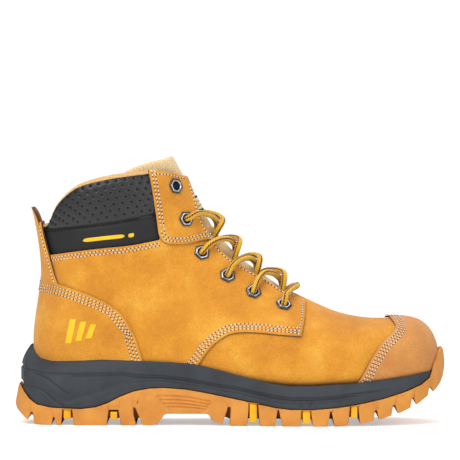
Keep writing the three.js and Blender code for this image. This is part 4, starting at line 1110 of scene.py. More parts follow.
def collar_cover():
    """The black cover: a closed strip whose section climbs the outside, rolls over the top line
    and comes back 1.2 mm deeper. A soft dimple, a Gaussian, surrounds every hole. Below the seam
    it is the matt band. The perforations are dark cups that sit in the dimples."""
    steps = np.linspace(-0.1, 1, 64)
    rows = collar_profile(low_pair, top_pair, steps, 0.1, 1.15, None, n_roll=8)
    outside = lift_rows(rows)
    spots = perforations()
    centres = skin_point(*spots.T)
    flat = np.stack([skin_point(*c.T) for c, _ in rows])
    dent = np.zeros(flat.shape[:2])
    for part in np.array_split(np.arange(len(centres)), 12):
        near = ((flat[None] - centres[part][:, None, None]) ** 2).sum(-1)
        dent += np.exp(-near / 1.25 ** 2).sum(0)
    normals = np.stack([skin_normal(*c.T) for c, _ in rows])
    outside = outside - normals * (0.6 * np.minimum(dent, 1))[..., None]
    behind = lift_rows(rows[::-1], -1.2)
    section = np.concatenate([outside, behind]).transpose(1, 0, 2)
    verts, faces = loft(section)
    middle = [verts[f].mean(1) for f in faces]
    low = [m[:, 2] < side_height(SIDE_SEAM, m[:, 0]) for m in middle]
    build("collar_cover", verts, faces, [black_cover, black_band], slot="collar_fabric",
          stands_for=["collar_outer", "collar_inner"], index=np.concatenate(low))
    depth = COLLAR_OUT + collar_swell(centres[:, 0], centres[:, 2]) - 0.36
    out = skin_normal(*spots.T)
    x = unit(np.cross(out, np.array([0.0, 0.0, 1.0])))
    y = np.cross(out, x)
    cup = [(0.02, -0.3), (0.6, -0.25), (0.82, 0.06), (0.72, 0.1), (0.4, -0.12), (0.02, -0.16)]
    base, base_faces = loft(np.stack([circle(10, radius, height) for radius, height in cup]))
    verts, faces = scatter(base, base_faces, centres + out * depth[:, None], x, y, out)
    build("collar_perforations", verts, faces, pit, slot="collar_fabric")


def collar_seam():
    """Zigzag stitches along the seam between the perforated and the plain band."""
    half = trace(COLLAR_SEAM[:-1], 0.5)
    half[0, 1] = 0
    for name, chart in (("outer", half), ("inner", mirrored(half))):
        place = skin_point(*chart.T)
        run = run_of(place)
        at = np.arange(2, run[-1] - 3, 1.5)
        spot = read_at(at, run, chart)
        way = np.where(np.arange(len(at)) % 2, 1.0, -1.0)
        here = skin_point(*spot.T)
        out = skin_normal(*spot.T)
        ahead = unit(np.gradient(here, axis=0))
        up = np.cross(out, ahead)
        x = unit(ahead * 0.62 + up * way[:, None])
        y = np.cross(out, x)
        depth = COLLAR_OUT + collar_swell(here[:, 0], here[:, 2]) + 0.6
        base, base_faces = stitch_shape(2.9, 0.8, 0.6)
        verts, faces = scatter(base, base_faces, here + out * depth[:, None], x, y, out)
        build("collar_zigzag_" + name, verts, faces, black_thread, slot="collar_fabric")


def collar_face(u, angle):
    """Depth of the collar's outer face."""
    return COLLAR_OUT + collar_swell(*skin_point(u, angle).T[[0, 2]])


def stripe_top(u, angle):
    """The transfer stands a little proud of the collar."""
    return collar_face(u, angle) + 0.22


def stripe_bottom(u, angle):
    """Its back lies inside the cover."""
    return collar_face(u, angle) - 0.2


def collar_stripe():
    """A plain yellow transfer on the lower band: a long bar and a short one, slightly proud."""
    for name, ends in (("long", (-104, -74)), ("short", (-71.5, -67.5))):
        x = np.linspace(*ends, 40)
        middle = side_height(SIDE_LOW, x) + 7.1
        half = 1.25 * (1 - np.abs(np.linspace(-1, 1, 40)) ** 14) + 0.12
        line = np.vstack([np.stack([x, middle + half], -1),
                          np.stack([x, middle - half], -1)[::-1]])
        loop = loop_of(locate(line))
        panel("collar_stripe_" + name, loop, stripe_top, stripe_bottom, yellow_print,
              edge=[(0.0, -0.08), (0.2, 0.0)], spacing=1.2, slot="collar_fabric")


def collar_lining():
    """The mesh lining: it starts as a thin binding just outside the top line, rolls over it and
    runs down inside the shaft in soft ribs, ending below the collar's lower edge."""
    rows = collar_profile(low_pair, top_pair, [], 0.55, PI, -0.12, raise_by=0.35, n_roll=18)
    face = lift_rows(rows)
    # On the outside of the roll the back lies deeper, and past its top it lies further out.
    behind = [(chart, depth + (1.3 if i > 14 else -1.2)) for i, (chart, depth) in enumerate(rows)]
    back = lift_rows(behind[::-1])
    section = np.concatenate([face, back]).transpose(1, 0, 2)
    verts, faces = loft(section)
    piece = build("collar_lining_mesh", verts, faces, tan_mesh, slot="lining_mesh",
                  stands_for=["collar_lining", "collar_padding"])


collar_cover()
collar_seam()
collar_stripe()
collar_lining()


def heel_bars():
    """Three slanted yellow bars pressed into the heel guard, a plain mark of no meaning."""
    for i, x in enumerate((-113.5, -106.5, -99.5)):
        high, half, slant = 17 - 3.5 * i, 2.1, 3.6
        box = [[x - half, 66 - high / 2], [x + half, 66 - high / 2],
               [x + half + slant, 66 + high / 2], [x - half + slant, 66 + high / 2]]
        loop = loop_of(locate(resample(box, 0.6, closed=True)))
        panel("heel_bar_" + str(i + 1), loop, 2.32, 1.2, yellow_print,
              edge=[(0.0, -0.12), (0.3, 0.0)], spacing=1.2, relief=leather_relief,
              slot="overlay_nubuck")


heel_bars()

# ---- Lining and footbed ---------------------------------------------------------------------

def shoe_lining():
    """The lining under and round the foot: a sock 1.2 mm thick, from the toe to the collar and
    open at the top, where its edges end under the facings."""
    u = np.concatenate([np.linspace(0.6, 2, 8), np.linspace(2.2, 21.6, 90)])
    share = np.linspace(-1, 1, 72)
    open_from = np.interp(u, [0, 6.6, 8.6, 11, 13.5, 16, 19, 21.6],
                          [PI, PI, 2.72, 2.35, 2.1, 1.9, 1.2, 0.9])
    angle = share[None] * open_from[:, None]
    uu = np.repeat(u[:, None], len(share), 1)
    deep = np.interp(u, [0, 1.5, 21.6], [-5.0, LINING[1], LINING[1] - 1.2])[:, None] + 0 * angle
    outer_face = skin(uu, angle, deep + 1.2)
    inner_face = skin(uu, angle, deep)
    section = np.concatenate([inner_face, outer_face[:, ::-1]], axis=1)
    verts, faces = loft(section)
    build("shoe_lining_mesh", verts, faces, tan_mesh, slot="lining_mesh",
          stands_for=["quarter_lining", "vamp_lining"])


def footbed_mesh():
    """The footbed: across each slice a shallow dish, the distance from the middle to the power
    3.5, whose rim climbs the lining, with a raised arch on the inner side. Its ends are rounded
    off in plan by a circle's arc."""
    thick, rise = 4.0, 8.2  # at the middle line, and its underside above the skin's lowest line
    low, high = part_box("footbed")
    x = np.concatenate([np.linspace(low.x, low.x + 0.006, 8),
                        np.linspace(low.x + 0.009, high.x - 0.009, 70),
                        np.linspace(high.x - 0.006, high.x, 8)]) * 1000
    floor_line = STATIONS[1:16]
    forward = np.argsort(floor_line[:, 2])
    ground = np.interp(x, floor_line[forward, 2], floor_line[forward, 3])
    under = ground + rise
    top = under + thick
    edge_out = locate(np.stack([x, top], -1))
    clear = np.full(len(x), LINING[1] - 2.1)
    outer_rim = skin(edge_out[:, 0], edge_out[:, 1], clear)[:, 1]
    inner_rim = skin(edge_out[:, 0], -edge_out[:, 1], clear)[:, 1]
    ends = np.minimum(np.minimum((x - x[0]) / 16, (x[-1] - x) / 26), 1)
    round_off = np.sqrt(np.clip(1 - (1 - ends) ** 2, 0.0, 1))
    middle = (outer_rim + inner_rim) / 2
    half = np.maximum((inner_rim - outer_rim) / 2 * np.maximum(round_off, 0.04), 0.4)
    across = np.linspace(-1, 1, 41)
    y = middle[:, None] + half[:, None] * across
    dish = 2.6 * np.abs(across) ** 3.5 + 1.6 * np.clip(across, 0, 1) ** 2 * np.exp(
        -((x[:, None] + 25) / 45) ** 2)
    z_top = top[:, None] + dish - 0.9
    z_low = under[:, None] + 1.1 * np.abs(across) ** 6
    upper_face = np.stack([np.repeat(x[:, None], 41, 1), y, z_top], -1)
    lower_face = np.stack([np.repeat(x[:, None], 41, 1), y, z_low], -1)[:, ::-1]
    verts, faces = loft(np.concatenate([upper_face, lower_face], axis=1))
    piece = build("footbed_pad", verts, faces, insock, body="footbed", slot="footbed_fabric",
                  stands_for=["footbed"])


shoe_lining()
footbed_mesh()

# ---- Tongue ---------------------------------------------------------------------------------

LACE = 4.2  # diameter
LACE_UNDER = -7.7  # depth of its middle line where it runs under a facing
SIDE_FACING = np.array(FACING_EDGE)


def edge_angle(u):
    """How far round from the ridge the facing's edge lies at each station, found by halving."""
    u = np.asarray(u, float)
    bare, covered = np.zeros(u.shape), np.full(u.shape, PI / 3)
    forward = np.argsort(SIDE_FACING[:, 0])
    for _ in range(30):
        middle = (bare + covered) / 2
        place = skin_point(u, PI + middle)
        facing = np.interp(place[..., 0], SIDE_FACING[forward, 0], SIDE_FACING[forward, 1])
        above = place[..., 2] > facing
        bare, covered = np.where(above, middle, bare), np.where(above, covered, middle)
    return bare


WING = LACE_UNDER - LACE / 2 - GAP - 0.5  # depth of the tongue's face under the facings
RIDGE, RIDGE_AT_BASE, RIDGE_AT_TOP, WING_AT_TOP = -1.9, -5.1, -3.2, -12
TONGUE_THICK, TONGUE_WING_THICK = 5.2, 3.0


def tongue_outer(u, angle):
    """Depth of the tongue's outer face: shallow along the ridge, deep where the facings and the
    lace cover its wings, and under the vamp at its base."""
    base, top = ease((10 - u) / 1.8), ease((u - 19) / 3.5)
    ridge = RIDGE + base * (RIDGE_AT_BASE - RIDGE) + top * (RIDGE_AT_TOP - RIDGE)
    wing = WING + (WING_AT_TOP - WING) * ease((u - 18.5) / 1.5)
    away = np.abs(np.abs(angle) - PI)
    away = np.where(np.abs(angle) > PI, np.abs(angle - PI), away)
    return ridge + (wing - ridge) * ease(away / np.maximum(edge_angle(u), 0.05))


def tongue_face(u, angle):
    """Depth of the tongue's padded face."""
    return tongue_outer(u, angle) - 0.15


def tongue_back(u, angle):
    """Depth of its back: thick over the ridge, thinner by a smooth step 45 degrees away."""
    away = np.minimum(np.abs(angle - PI), np.abs(angle + PI))
    thick = TONGUE_THICK + (TONGUE_WING_THICK - TONGUE_THICK) * ease(away / math.radians(45))
    return tongue_outer(u, angle) - thick


def tongue_quilt(place, u, angle):
    """Soft ribs along the tongue: a quarter of a millimetre times a sine squared across it."""
    return 0.25 * np.sin(place[:, 1] / 9) ** 2


def tongue_pad():
    """The tongue: a quilted pad with round edges that lies under the lacing."""
    half = np.vstack([trace([[-41.5, 189.6], [-47.3, 188], [-55.8, 184.8], [-64.4, 181.4],
                             [-71.5, 177.5], [-68, 171], [-53, 160], [-42, 150], [-36, 142],
                             [-29.5, 130], [-22, 121], [-12, 112], [2, 101], [15, 93], [30, 84],
                             [44, 77], [52, 76]]), [[8.05, 2.75], [8.0, PI]]])
    loop = both(half)
    piece = panel("tongue_pad", loop, tongue_face, tongue_back, tongue_mesh,
                  edge=[(0.0, -1.4), (0.35, -0.75), (0.9, -0.3), (1.8, -0.06), (2.8, 0.0)],
                  spacing=2.4, relief=tongue_quilt, both_sides=True, body="tongue",
                  slot="tongue_mesh", stands_for=["tongue"])


def tongue_label_patch():
    """The label: a short strip over the ridge in plain stripes, curving with the tongue, its cut
    ends a little ragged by a sine. Its UV map runs round it and up it."""
    up, across = 22, 25  # points each way
    u = np.linspace(17.2, 19.0, up)
    angle = PI + np.radians(np.linspace(-14, 14, across))
    uu, aa = np.meshgrid(u, angle, indexing="ij")
    ragged = 0.12 * np.sin(uu * 40) * (np.abs(aa - PI) > np.radians(12.5))
    depth = tongue_outer(uu, aa)
    face = skin(uu, aa + np.radians(ragged), depth + 1.05)
    back = skin(uu, aa, depth + 0.1)[:, ::-1]
    verts, faces = loft(np.concatenate([face, back], axis=1))
    share = np.repeat(np.linspace(0, 1, up), 2 * across)
    uv = np.stack([np.tile(np.linspace(0, 1, 2 * across), up), share], -1)
    uv = np.vstack([uv, [[0.5, 0.0], [0.5, 1.0]]])
    build("tongue_label_strip", verts, faces, label_weave, body="tongue", slot="label_weave",
          stands_for=["tongue_label"], uv=uv)


tongue_pad()
tongue_label_patch()

# ---- Eyelets and lace -----------------------------------------------------------------------

EYELETS = [[-39.7, 167.9], [-32.2, 144.6], [-20, 121], [-1.8, 104.9], [16.5, 93.4], [37.9, 84.6]]
FLANGE, FLATS, HOLE, WALL = 1.2, 10.3, 6.2, 0.5
SEAT = GAP + 0.2  # under a flange
BARREL_END = STAY[1] - 0.7
ON_PATCH = 2  # the first eyelets go through the facing patch as well


def eyelet_places(way):
    """Chart place, centre, normal and direction to the ridge of each eyelet on one side."""
    chart = locate(EYELETS) * [1, way]
    centre, normal = skin_point(*chart.T), skin_normal(*chart.T)
    to_ridge = skin_point(chart[:, 0], chart[:, 1] + 0.05 * way) - centre
    to_ridge = unit(to_ridge - normal * (to_ridge * normal).sum(-1, keepdims=True))
    top = np.array([OVERLAY[0]] * ON_PATCH + [0.0] * (len(EYELETS) - ON_PATCH))
    return dict(u=chart[:, 0], angle=chart[:, 1], centre=centre, normal=normal,
                to_ridge=to_ridge, top=top)


PLACES = {"outer": eyelet_places(1), "inner": eyelet_places(-1)}


def flange_top(place, i):
    """Depth of the top of an eyelet's flange."""
    return place["top"][i] + SEAT + FLANGE


def eyelet_shape(top):
    """One eyelet round its own axis. Each ring of its section is a hexagon, a circle or a mix of
    the two: radius = mix(circle, flats / cos(angle to the nearest flat), share)."""
    count = 72
    angles = round_angles(count)
    to_flat = (angles + PI / 6) % (PI / 3) - PI / 6
    hexagon = np.minimum(1 / np.cos(to_flat), 1.125)  # corners cut to a small round
    outer = FLATS / 2
    section = [  # radius, height, hexagon share, finish
        (outer - 0.35, top - FLANGE, 1, 0), (outer, top - FLANGE + 0.2, 1, 0),
        (outer, top - 0.62, 1, 0), (outer - 0.28, top - 0.34, 1, 0),
        (outer - 1.0, top - 0.1, 0.9, 1), (outer - 1.2, top, 0.7, 1),
        (HOLE / 2 + 0.62, top + 0.02, 0.1, 1), (HOLE / 2 + 0.3, top - 0.08, 0, 1),
        (HOLE / 2 + 0.02, top - 0.45, 0, 0), (HOLE / 2 - 0.1, top - 1.3, 0, 0),
        (HOLE / 2, BARREL_END + 0.7, 0, 0), (HOLE / 2 + 0.3, BARREL_END + 0.1, 0, 0),
        (HOLE / 2 + 0.7, BARREL_END, 0, 0), (HOLE / 2 + WALL, BARREL_END + 0.5, 0, 0),
        (HOLE / 2 + WALL, top - FLANGE - 0.05, 0, 0)]
    rows = []
    for radius, height, share, _ in section:
        reach = radius * (1 + (hexagon - 1) * share)
        rows.append(np.stack([reach * np.cos(angles), reach * np.sin(angles),
                              np.full(count, height)], -1))
    rows = np.array(rows + rows[:1])
    verts, faces = loft(rows, caps=False)
    index = np.repeat([ring[3] for ring in section], count)
    return verts, faces, index


def eyelet_shade(top):
    """A dark disc that closes the hole below the flange, where the leather would show."""
    radius = HOLE / 2 - 0.12
    return loft(np.stack([circle(24, radius, top - FLANGE - 0.9),
                          circle(24, radius, top - FLANGE + 0.35)]))


def eyelets():
    """Every eyelet and its dark disc, turned to the skin at its place."""
    for side, place in PLACES.items():
        for i in range(len(EYELETS)):
            node = "%s_%d" % (side, i + 1)
            normal, x = place["normal"][i], place["to_ridge"][i]
            axes = np.stack([x, np.cross(normal, x), normal])
            verts, faces, index = eyelet_shape(flange_top(place, i))
            build("hex_eyelet_" + node, verts @ axes + place["centre"][i], faces,
                  [gunmetal, bright_ring], slot="eyelet_steel", stands_for=["eyelet_" + node],
                  index=index)
            verts, faces = eyelet_shade(flange_top(place, i))
            build("hex_eyelet_shade_" + node, verts @ axes + place["centre"][i], faces, pit,
                  slot="eyelet_steel")


eyelets()


def over_depth(place, i):
    """Depth of the lace's middle line where it rides over an eyelet's flange."""
    return flange_top(place, i) + LACE / 2 + 0.85


def beside_hole(place, i, to_ridge, depth):
    """A point so far from an eyelet's axis towards the ridge, at a depth."""
    return place["centre"][i] + place["to_ridge"][i] * to_ridge + place["normal"][i] * depth


def lace_turn(place, i):
    """The lace comes up through an eyelet on a half circle."""
    high = over_depth(place, i)
    radius, middle = (high - LACE_UNDER) / 2, (high + LACE_UNDER) / 2
    return [beside_hole(place, i, radius - 0.45 - radius * math.cos(a),
                        middle + radius * math.sin(a))
            for a in np.radians(np.linspace(-90, 90, 7))]


# Round from the ridge as a share of the way to the facing's edge, share of the way to the next
# eyelet, and depths of the strand that lies under and of the one that lies over.
CROSSING = [[1.04, 0.12, 4.7, 4.9], [0.5, 0.42, 3.6, 5.9], [0, 0.7, 1.9, 6.7],
            [-0.25, 0.79, 1.1, 5.7], [-0.44, 0.87, -0.8, 2.5], [-0.64, 0.95, -4, -3.1],
            [-0.93, 1, -7.2, -7.2]]
BAR = [[24, 8.96, 4.9], [12, 8.8, 4], [0, 8.76, 3.6], [-12, 8.8, 4], [-24, 8.96, 4.9]]
END_IN_HOLE = [[5.4, 6.7], [2.6, 6], [0.9, 3.9], [0.2, 1.5], [-0.1, -1.5], [-0.6, -4.8],
               [-1.9, -6.6], [-4.4, -7.7], [-8.6, -8]]
END_INSIDE = [[-45.5, 143.5, -9.8], [-52, 139.5, -13.8], [-59, 131, -15.2], [-64, 118, -15.2],
              [-67, 104, -14.8], [-69, 92, -14.4], [-70.5, 82.5, -14.2]]


def lace_crossing(begin, end, i, away, is_over):
    """The route over the tongue from eyelet i of one side to the next one down on the other."""
    points = []
    for from_ridge, share, under, over in CROSSING:
        u = begin["u"][i] + (end["u"][i + 1] - begin["u"][i]) * share
        angle = PI + away * from_ridge * float(edge_angle(u))
        points.append(skin(u, angle, over if is_over else under))
    return points


def lace_end(side):
    """From the second eyelet down into the shaft."""
    place, way = PLACES[side], 1 if side == "outer" else -1
    hole = [beside_hole(place, 1, away, depth) for away, depth in END_IN_HOLE]
    chart = locate([p[:2] for p in END_INSIDE]) * [1, way]
    return hole + list(skin(chart[:, 0], chart[:, 1], [p[2] for p in END_INSIDE]))


def lace_strand(start_outer):
    """One strand from its end inside the boot down to the lowest eyelets."""
    points = lace_end("outer" if start_outer else "inner")[::-1]
    on_outer = start_outer
    for i in range(1, 5):
        here, there = ("outer", "inner") if on_outer else ("inner", "outer")
        is_over = (not start_outer) == (i % 2 == 1)
        points += lace_crossing(PLACES[here], PLACES[there], i, -1 if on_outer else 1, is_over)
        points += lace_turn(PLACES[there], i + 1)
        on_outer = not on_outer
    return points


def lace_route():
    """Both strands and the straight bar that joins them across the lowest pair of eyelets."""
    bar = [skin(u, PI - math.radians(a), depth) for a, u, depth in BAR]
    return np.array(lace_strand(True) + bar + lace_strand(False)[::-1])


def swept(route, spacing, sides, radius, ripple=0.0):
    """A tube along a smooth curve. Frames are carried from ring to ring by dropping from the last
    side direction its part along the new tangent; a braid's ripple swells the radius."""
    line = curve(route, spacing)
    ahead = unit(np.gradient(line, axis=0))
    sideways = np.zeros_like(ahead)
    sideways[0] = unit(np.cross(ahead[0], [0.3, 1.0, 0.2]))
    for i in range(1, len(ahead)):
        carried = sideways[i - 1] - ahead[i] * (sideways[i - 1] @ ahead[i])
        sideways[i] = carried / np.linalg.norm(carried)
    up = np.cross(ahead, sideways)
    run = run_of(line)
    share = np.arange(sides) / sides
    wave = np.maximum(np.sin(2 * PI * CARRIERS * (share + run[:, None] / LAY)),
                      np.sin(2 * PI * CARRIERS * (share - run[:, None] / LAY)))
    size = radius * (1 + ripple * (wave - 0.6))
    rows = line[:, None] + size[..., None] * (
        np.cos(2 * PI * share)[None, :, None] * sideways[:, None]
        + np.sin(2 * PI * share)[None, :, None] * up[:, None])
    verts, faces = loft(rows)
    uv = np.stack([np.tile(share, len(line)), np.repeat(run, sides)], -1)
    uv = np.vstack([uv, [[0, 0], [0, run[-1]]]])
    return verts, faces, uv, line, run[-1]


def laces():
    """The lace: one tube 24 sides round along its route."""
    verts, faces, uv, line, length = swept(lace_route(), 0.75, 24, LACE / 2, 0.035)
    piece = build("lace_cord", verts, faces, lace_braid, slot="lace_braid", stands_for=["lace"],
                  uv=uv)


laces()

# ---- Midsole --------------------------------------------------------------------------------

def plan_loop(inset, count=3000):
    """The sole's outline seen from above, moved inwards along its own normal, from the back tip
    along the outer side to the toe and back along the inner side."""
    line = curve([p + [0.0] for p in SOLE_PLAN] + [SOLE_PLAN[0] + [0.0]], 0.2)[:, :2]
    closed = line[:-1]
    ahead = unit(np.roll(closed, -1, 0) - np.roll(closed, 1, 0))
    for _ in range(6):
        ahead = unit((ahead + np.roll(ahead, 1, 0) + np.roll(ahead, -1, 0)) / 3)
    inward = np.stack([-ahead[:, 1], ahead[:, 0]], -1)
    toward = closed.mean(0) - closed
    inward *= np.sign((inward * toward).sum(1).mean())
    return closed + inward * inset, inward


def line_distance(x, z, line):
    """Distance in side view from points to a run of straight pieces."""
    line = np.array(line, float)
    best = np.full(x.shape, 1e9)
    for a, b in zip(line[:-1], line[1:]):
        ab = b - a
        t = np.clip(((x - a[0]) * ab[0] + (z - a[1]) * ab[1]) / (ab @ ab), 0, 1)
        best = np.minimum(best, np.hypot(x - a[0] - t * ab[0], z - a[1] - t * ab[1]))
    return best


BAND = [[-160, 41.4], [-149, 41], [-142.8, 38.1], [-131.8, 36.2], [-109.9, 35.6], [-77, 36.4],
        [-66, 35.1], [-49.6, 34.5], [-33.2, 32.9], [-11.3, 29], [3.8, 26.9], [20.2, 23],
        [31.2, 20.8], [42.2, 19.5], [58.6, 19.5], [75, 20.8], [91.5, 23], [107.9, 24.7]]
SWOOP = [[-114, 16], [-104, 18.6], [-96.7, 20.8], [-88, 24.1], [-77, 28.4], [-66, 31],
         [-49.6, 31.3], [-33.2, 29.6], [-11.3, 25.7], [3.8, 23.2], [20.2, 19.4], [31.2, 17.2],
         [42.2, 16.1], [58.6, 16.1], [75, 17.6], [88, 19.6]]
HEEL_FACETS = [[[-144.4, 37.5], [-137.3, 35.6], [-129.6, 32.9], [-123, 27.9], [-116.5, 23.2],
                [-114, 21.9]],
               [[-147.1, 28.5], [-139.5, 26.3], [-131.8, 23.6], [-126.3, 19.2], [-123, 16.4],
                [-117.6, 13.2]]]
TICKS = [[[49.3, 16.4], [50.2, 13.4]], [[57.2, 16.4], [55.9, 13.7]]]


def midsole():
    """A wall round the boot, open at the toe. Bottom edge: the sole's plan. Top edge: the rim
    traced on the upper and moved 2.6 mm out. Between them the wall stands up, then leans in by
    the square of the last half. Drawn lines are cut in as Gaussian valleys."""
    loop, inward = plan_loop(0.0)
    foremost = int(np.argmax(loop[:, 0]))
    order = np.r_[foremost:len(loop), 0:foremost][::3]
    loop, inward = loop[order], inward[order]
    keep = loop[:, 0] < 144.2
    first = int(np.argmax(keep))
    last_kept = len(keep) - int(np.argmax(keep[::-1]))
    loop, inward = loop[first:last_kept], inward[first:last_kept]
    x = loop[:, 0]
    sole, rim_line = np.array(SOLE_LINE), np.array(RIM)
    back = ease((-x - 146) / 5.5)
    inset = 0.9 + 3.6 * back
    z_low = np.interp(x, sole[:, 0], sole[:, 1]) + 0.2
    rim_chart = trace(RIM, 0.4)
    rim_at = skin(rim_chart[:, 0], rim_chart[:, 1], np.full(len(rim_chart), 2.7))
    x_rim = np.interp(x, [-152.8, -149, -140, -120, 120, 144.2],
                      [-141.4, -139.6, -134.5, -119.5, 120, 143.4])
    order = np.argsort(rim_at[:, 0])
    which_side = np.sign(loop[:, 1])
    half_rim = np.interp(x_rim, rim_at[order, 0], np.abs(rim_at[order, 1]))
    inner_rim = skin(rim_chart[:, 0], -rim_chart[:, 1], np.full(len(rim_chart), 2.7))
    order_in = np.argsort(inner_rim[:, 0])
    half_in = np.interp(x_rim, inner_rim[order_in, 0], np.abs(inner_rim[order_in, 1]))
    outer_sign = np.sign(rim_at[len(rim_at) // 2, 1])
    y_rim = np.where(which_side == outer_sign, half_rim, half_in) * which_side
    y_rim *= np.clip(np.abs(loop[:, 1]) / 12, 0, 1) ** 0.5
    z_top = np.interp(x_rim, rim_line[:, 0], rim_line[:, 1])
    z_top = np.maximum(z_top, z_low + 0.6)
    foot = loop + inward * inset[:, None]
    top = np.stack([x_rim, y_rim], -1)
    away = ((top - foot) * inward).sum(1)
    top = np.where(away[:, None] > 0.3, top, foot + inward * 0.3)
    rows = []

    def row(place, height):
        rows.append(np.concatenate([place, height[:, None]], -1))

    row(foot + inward * 7, z_low)
    row(foot + inward * 0.9, z_low)
    row(foot + inward * 0.3, z_low + 0.1)
    wall = np.linspace(0.012, 0.975, 62)
    band_z = np.interp(x, *np.array(BAND).T)
    swoop_z = np.interp(x, *np.array(SWOOP).T)
    fade = ease((x + 124) / 18) * (1 - ease((x - 78) / 26))
    for v in wall:
        lean = np.clip((v - 0.42) / 0.58, 0, 1) ** 1.7
        place = foot + (top - foot) * lean
        z = z_low + (z_top - z_low) * v
        side_x = place[:, 0]
        cut = 1.0 * np.exp(-(line_distance(side_x, z, BAND) / 0.7) ** 2) * (
            1 - ease((x - 100) / 12))
        cut += 1.0 * np.exp(-(line_distance(side_x, z, HEEL_FACETS[0]) / 0.7) ** 2)
        cut += 0.8 * np.exp(-(line_distance(side_x, z, HEEL_FACETS[1]) / 0.7) ** 2)
        for tick in TICKS:
            cut += 0.9 * np.exp(-(line_distance(side_x, z, tick) / 0.6) ** 2)
        cut += 0.7 * np.exp(-(np.hypot(side_x - 109.7, z - 24.7) / 0.5) ** 2)
        between = ease((band_z - z) / 1.6) * ease((z - swoop_z) / 2.6 + 0.5)
        cut += 1.9 * fade * between
        cut -= 0.55 * back * ease((band_z - z) / 2)
        row(place + inward * cut[:, None], z)
    row(top + inward * 0.12, z_top - 0.25)
    row(top + inward * 0.45, z_top + 0.02)
    row(top + inward * 1.1, z_top + 0.05)
    row(top + inward * 1.9, z_top - 0.4)
    row(top + inward * 2.6, z_top - 2.2)
    row(foot + inward * 7, np.minimum(z_low + 4, z_top - 0.2))
    verts, faces = loft(np.array(rows).transpose(1, 0, 2))
    build("midsole_wall", verts, faces, grey_sole, slot="midsole_pu", stands_for=["midsole"])


midsole()

# ---- Outsole --------------------------------------------------------------------------------

OUTSOLE_TOP = [[-152.8, 14.5], [-152.2, 17.5], [-151.2, 21.5], [-149.6, 28.2], [-149, 28.4],
               [-146.1, 23.3], [-141.8, 18], [-136.5, 14.2], [-126, 12.2], [-105.3, 11.4],
               [-94.5, 12.7], [-85.9, 15.8], [-77.7, 20], [-68.2, 23.7], [-57.7, 25.8],
               [-47.3, 26.3], [-31.5, 25.3], [-15.8, 22.6], [7.2, 18], [31.2, 12.9],
               [42.2, 11.6], [58.7, 11.6], [75.2, 12.9], [91.6, 15.5], [108.1, 19],
               [124.6, 23.9], [135.3, 28.3], [141.1, 32.6], [142.9, 37.4], [143.4, 40],
               [144.6, 45], [146.8, 50.2], [149, 52.8], [150.6, 53.6], [151.7, 52.2],
               [152.4, 48.5], [152.7, 44]]
OUTSOLE_LOW = [[-152.8, 12.6], [-151.6, 10.4], [-143.9, 3.5], [-142.6, 3.0], [-138.6, 0.9],
               [-136.2, 0.15], [-56.6, 0.1], [-51.5, 0.9], [-48.2, 4.4], [-46.4, 7.4],
               [-44.6, 8.2], [-16.8, 8.3], [-14.8, 7.6], [-13.2, 4.4], [-10.5, 2.9],
               [-4, 0.9], [-1, 0.1], [73.7, 0.1], [91.6, 2], [104.5, 4.6], [120, 9.2],
               [132, 14.6], [141.3, 21.4], [145.7, 24.2], [149.6, 28.8], [151.6, 33],
               [152.4, 37], [152.7, 41]]
# Gaps between the lugs: back and front of the mouth, back and front of the floor, floor height.
MOUTHS = [[-142.9, -138.2, -140.9, -139.2, 8.6], [-125.9, -122.3, -124.6, -123.6, 5.6],
          [-118.9, -110.0, -118.2, -110.9, 11.0], [-86.8, -76.9, -85.6, -78.2, 10.9],
          [-66.1, -61.3, -69.2, -66.6, 12.6], [-5.4, -0.2, -1.6, 0.9, 13.2],
          [12.2, 20.9, 12.9, 19.9, 15.9], [31.4, 36.6, 33.3, 34.5, 11.4],
          [49.2, 58.2, 50.0, 57.0, 11.0], [68.2, 73.2, 70.1, 71.3, 10.4],
          [83.0, 91.2, 83.8, 90.0, 14.2], [100.6, 104.6, 101.7, 103.3, 11.2],
          [113.4, 117.9, 114.6, 116.4, 14.6], [127.0, 131.2, 128.2, 129.7, 19.2],
          [139.6, 143.4, 140.8, 142.2, 26.2]]
ARCH_RIBS = [[[-51.5, 20.3], [-41, 20.6], [-28, 19.5], [-14, 16.9]],
             [[-49, 17.9], [-40, 18.0], [-28, 17.0], [-14.5, 14.8]],
             [[-46.2, 15.3], [-38, 15.4], [-28, 14.6], [-15.5, 13.0]],
             [[-43.4, 12.8], [-36, 12.9], [-28, 12.4], [-17, 11.3]],
             [[-51.5, 20.3], [-42.5, 10.8]], [[-13.6, 16.6], [-18.5, 10.6]]]


def outsole_stations():
    """Places along the sole: every 0.8 mm, closer at both ends, with extra ones at the corners
    of every gap and 0.5 mm outside its mouth."""
    even = np.arange(-146, 146, 0.8)
    ends = 152.75 - 6.8 * (1 - np.cos(np.linspace(0, PI / 2, 16)))
    corners = [x for m in MOUTHS for x in (m[0] - 0.6, m[0] - 0.25, m[0], m[1], m[1] + 0.25,
                                           m[1] + 0.6, m[0] + 0.4, m[1] - 0.4)]
    x = np.sort(np.concatenate([even, ends, -ends, corners]))
    return x[np.concatenate([[True], np.diff(x) > 0.06])]


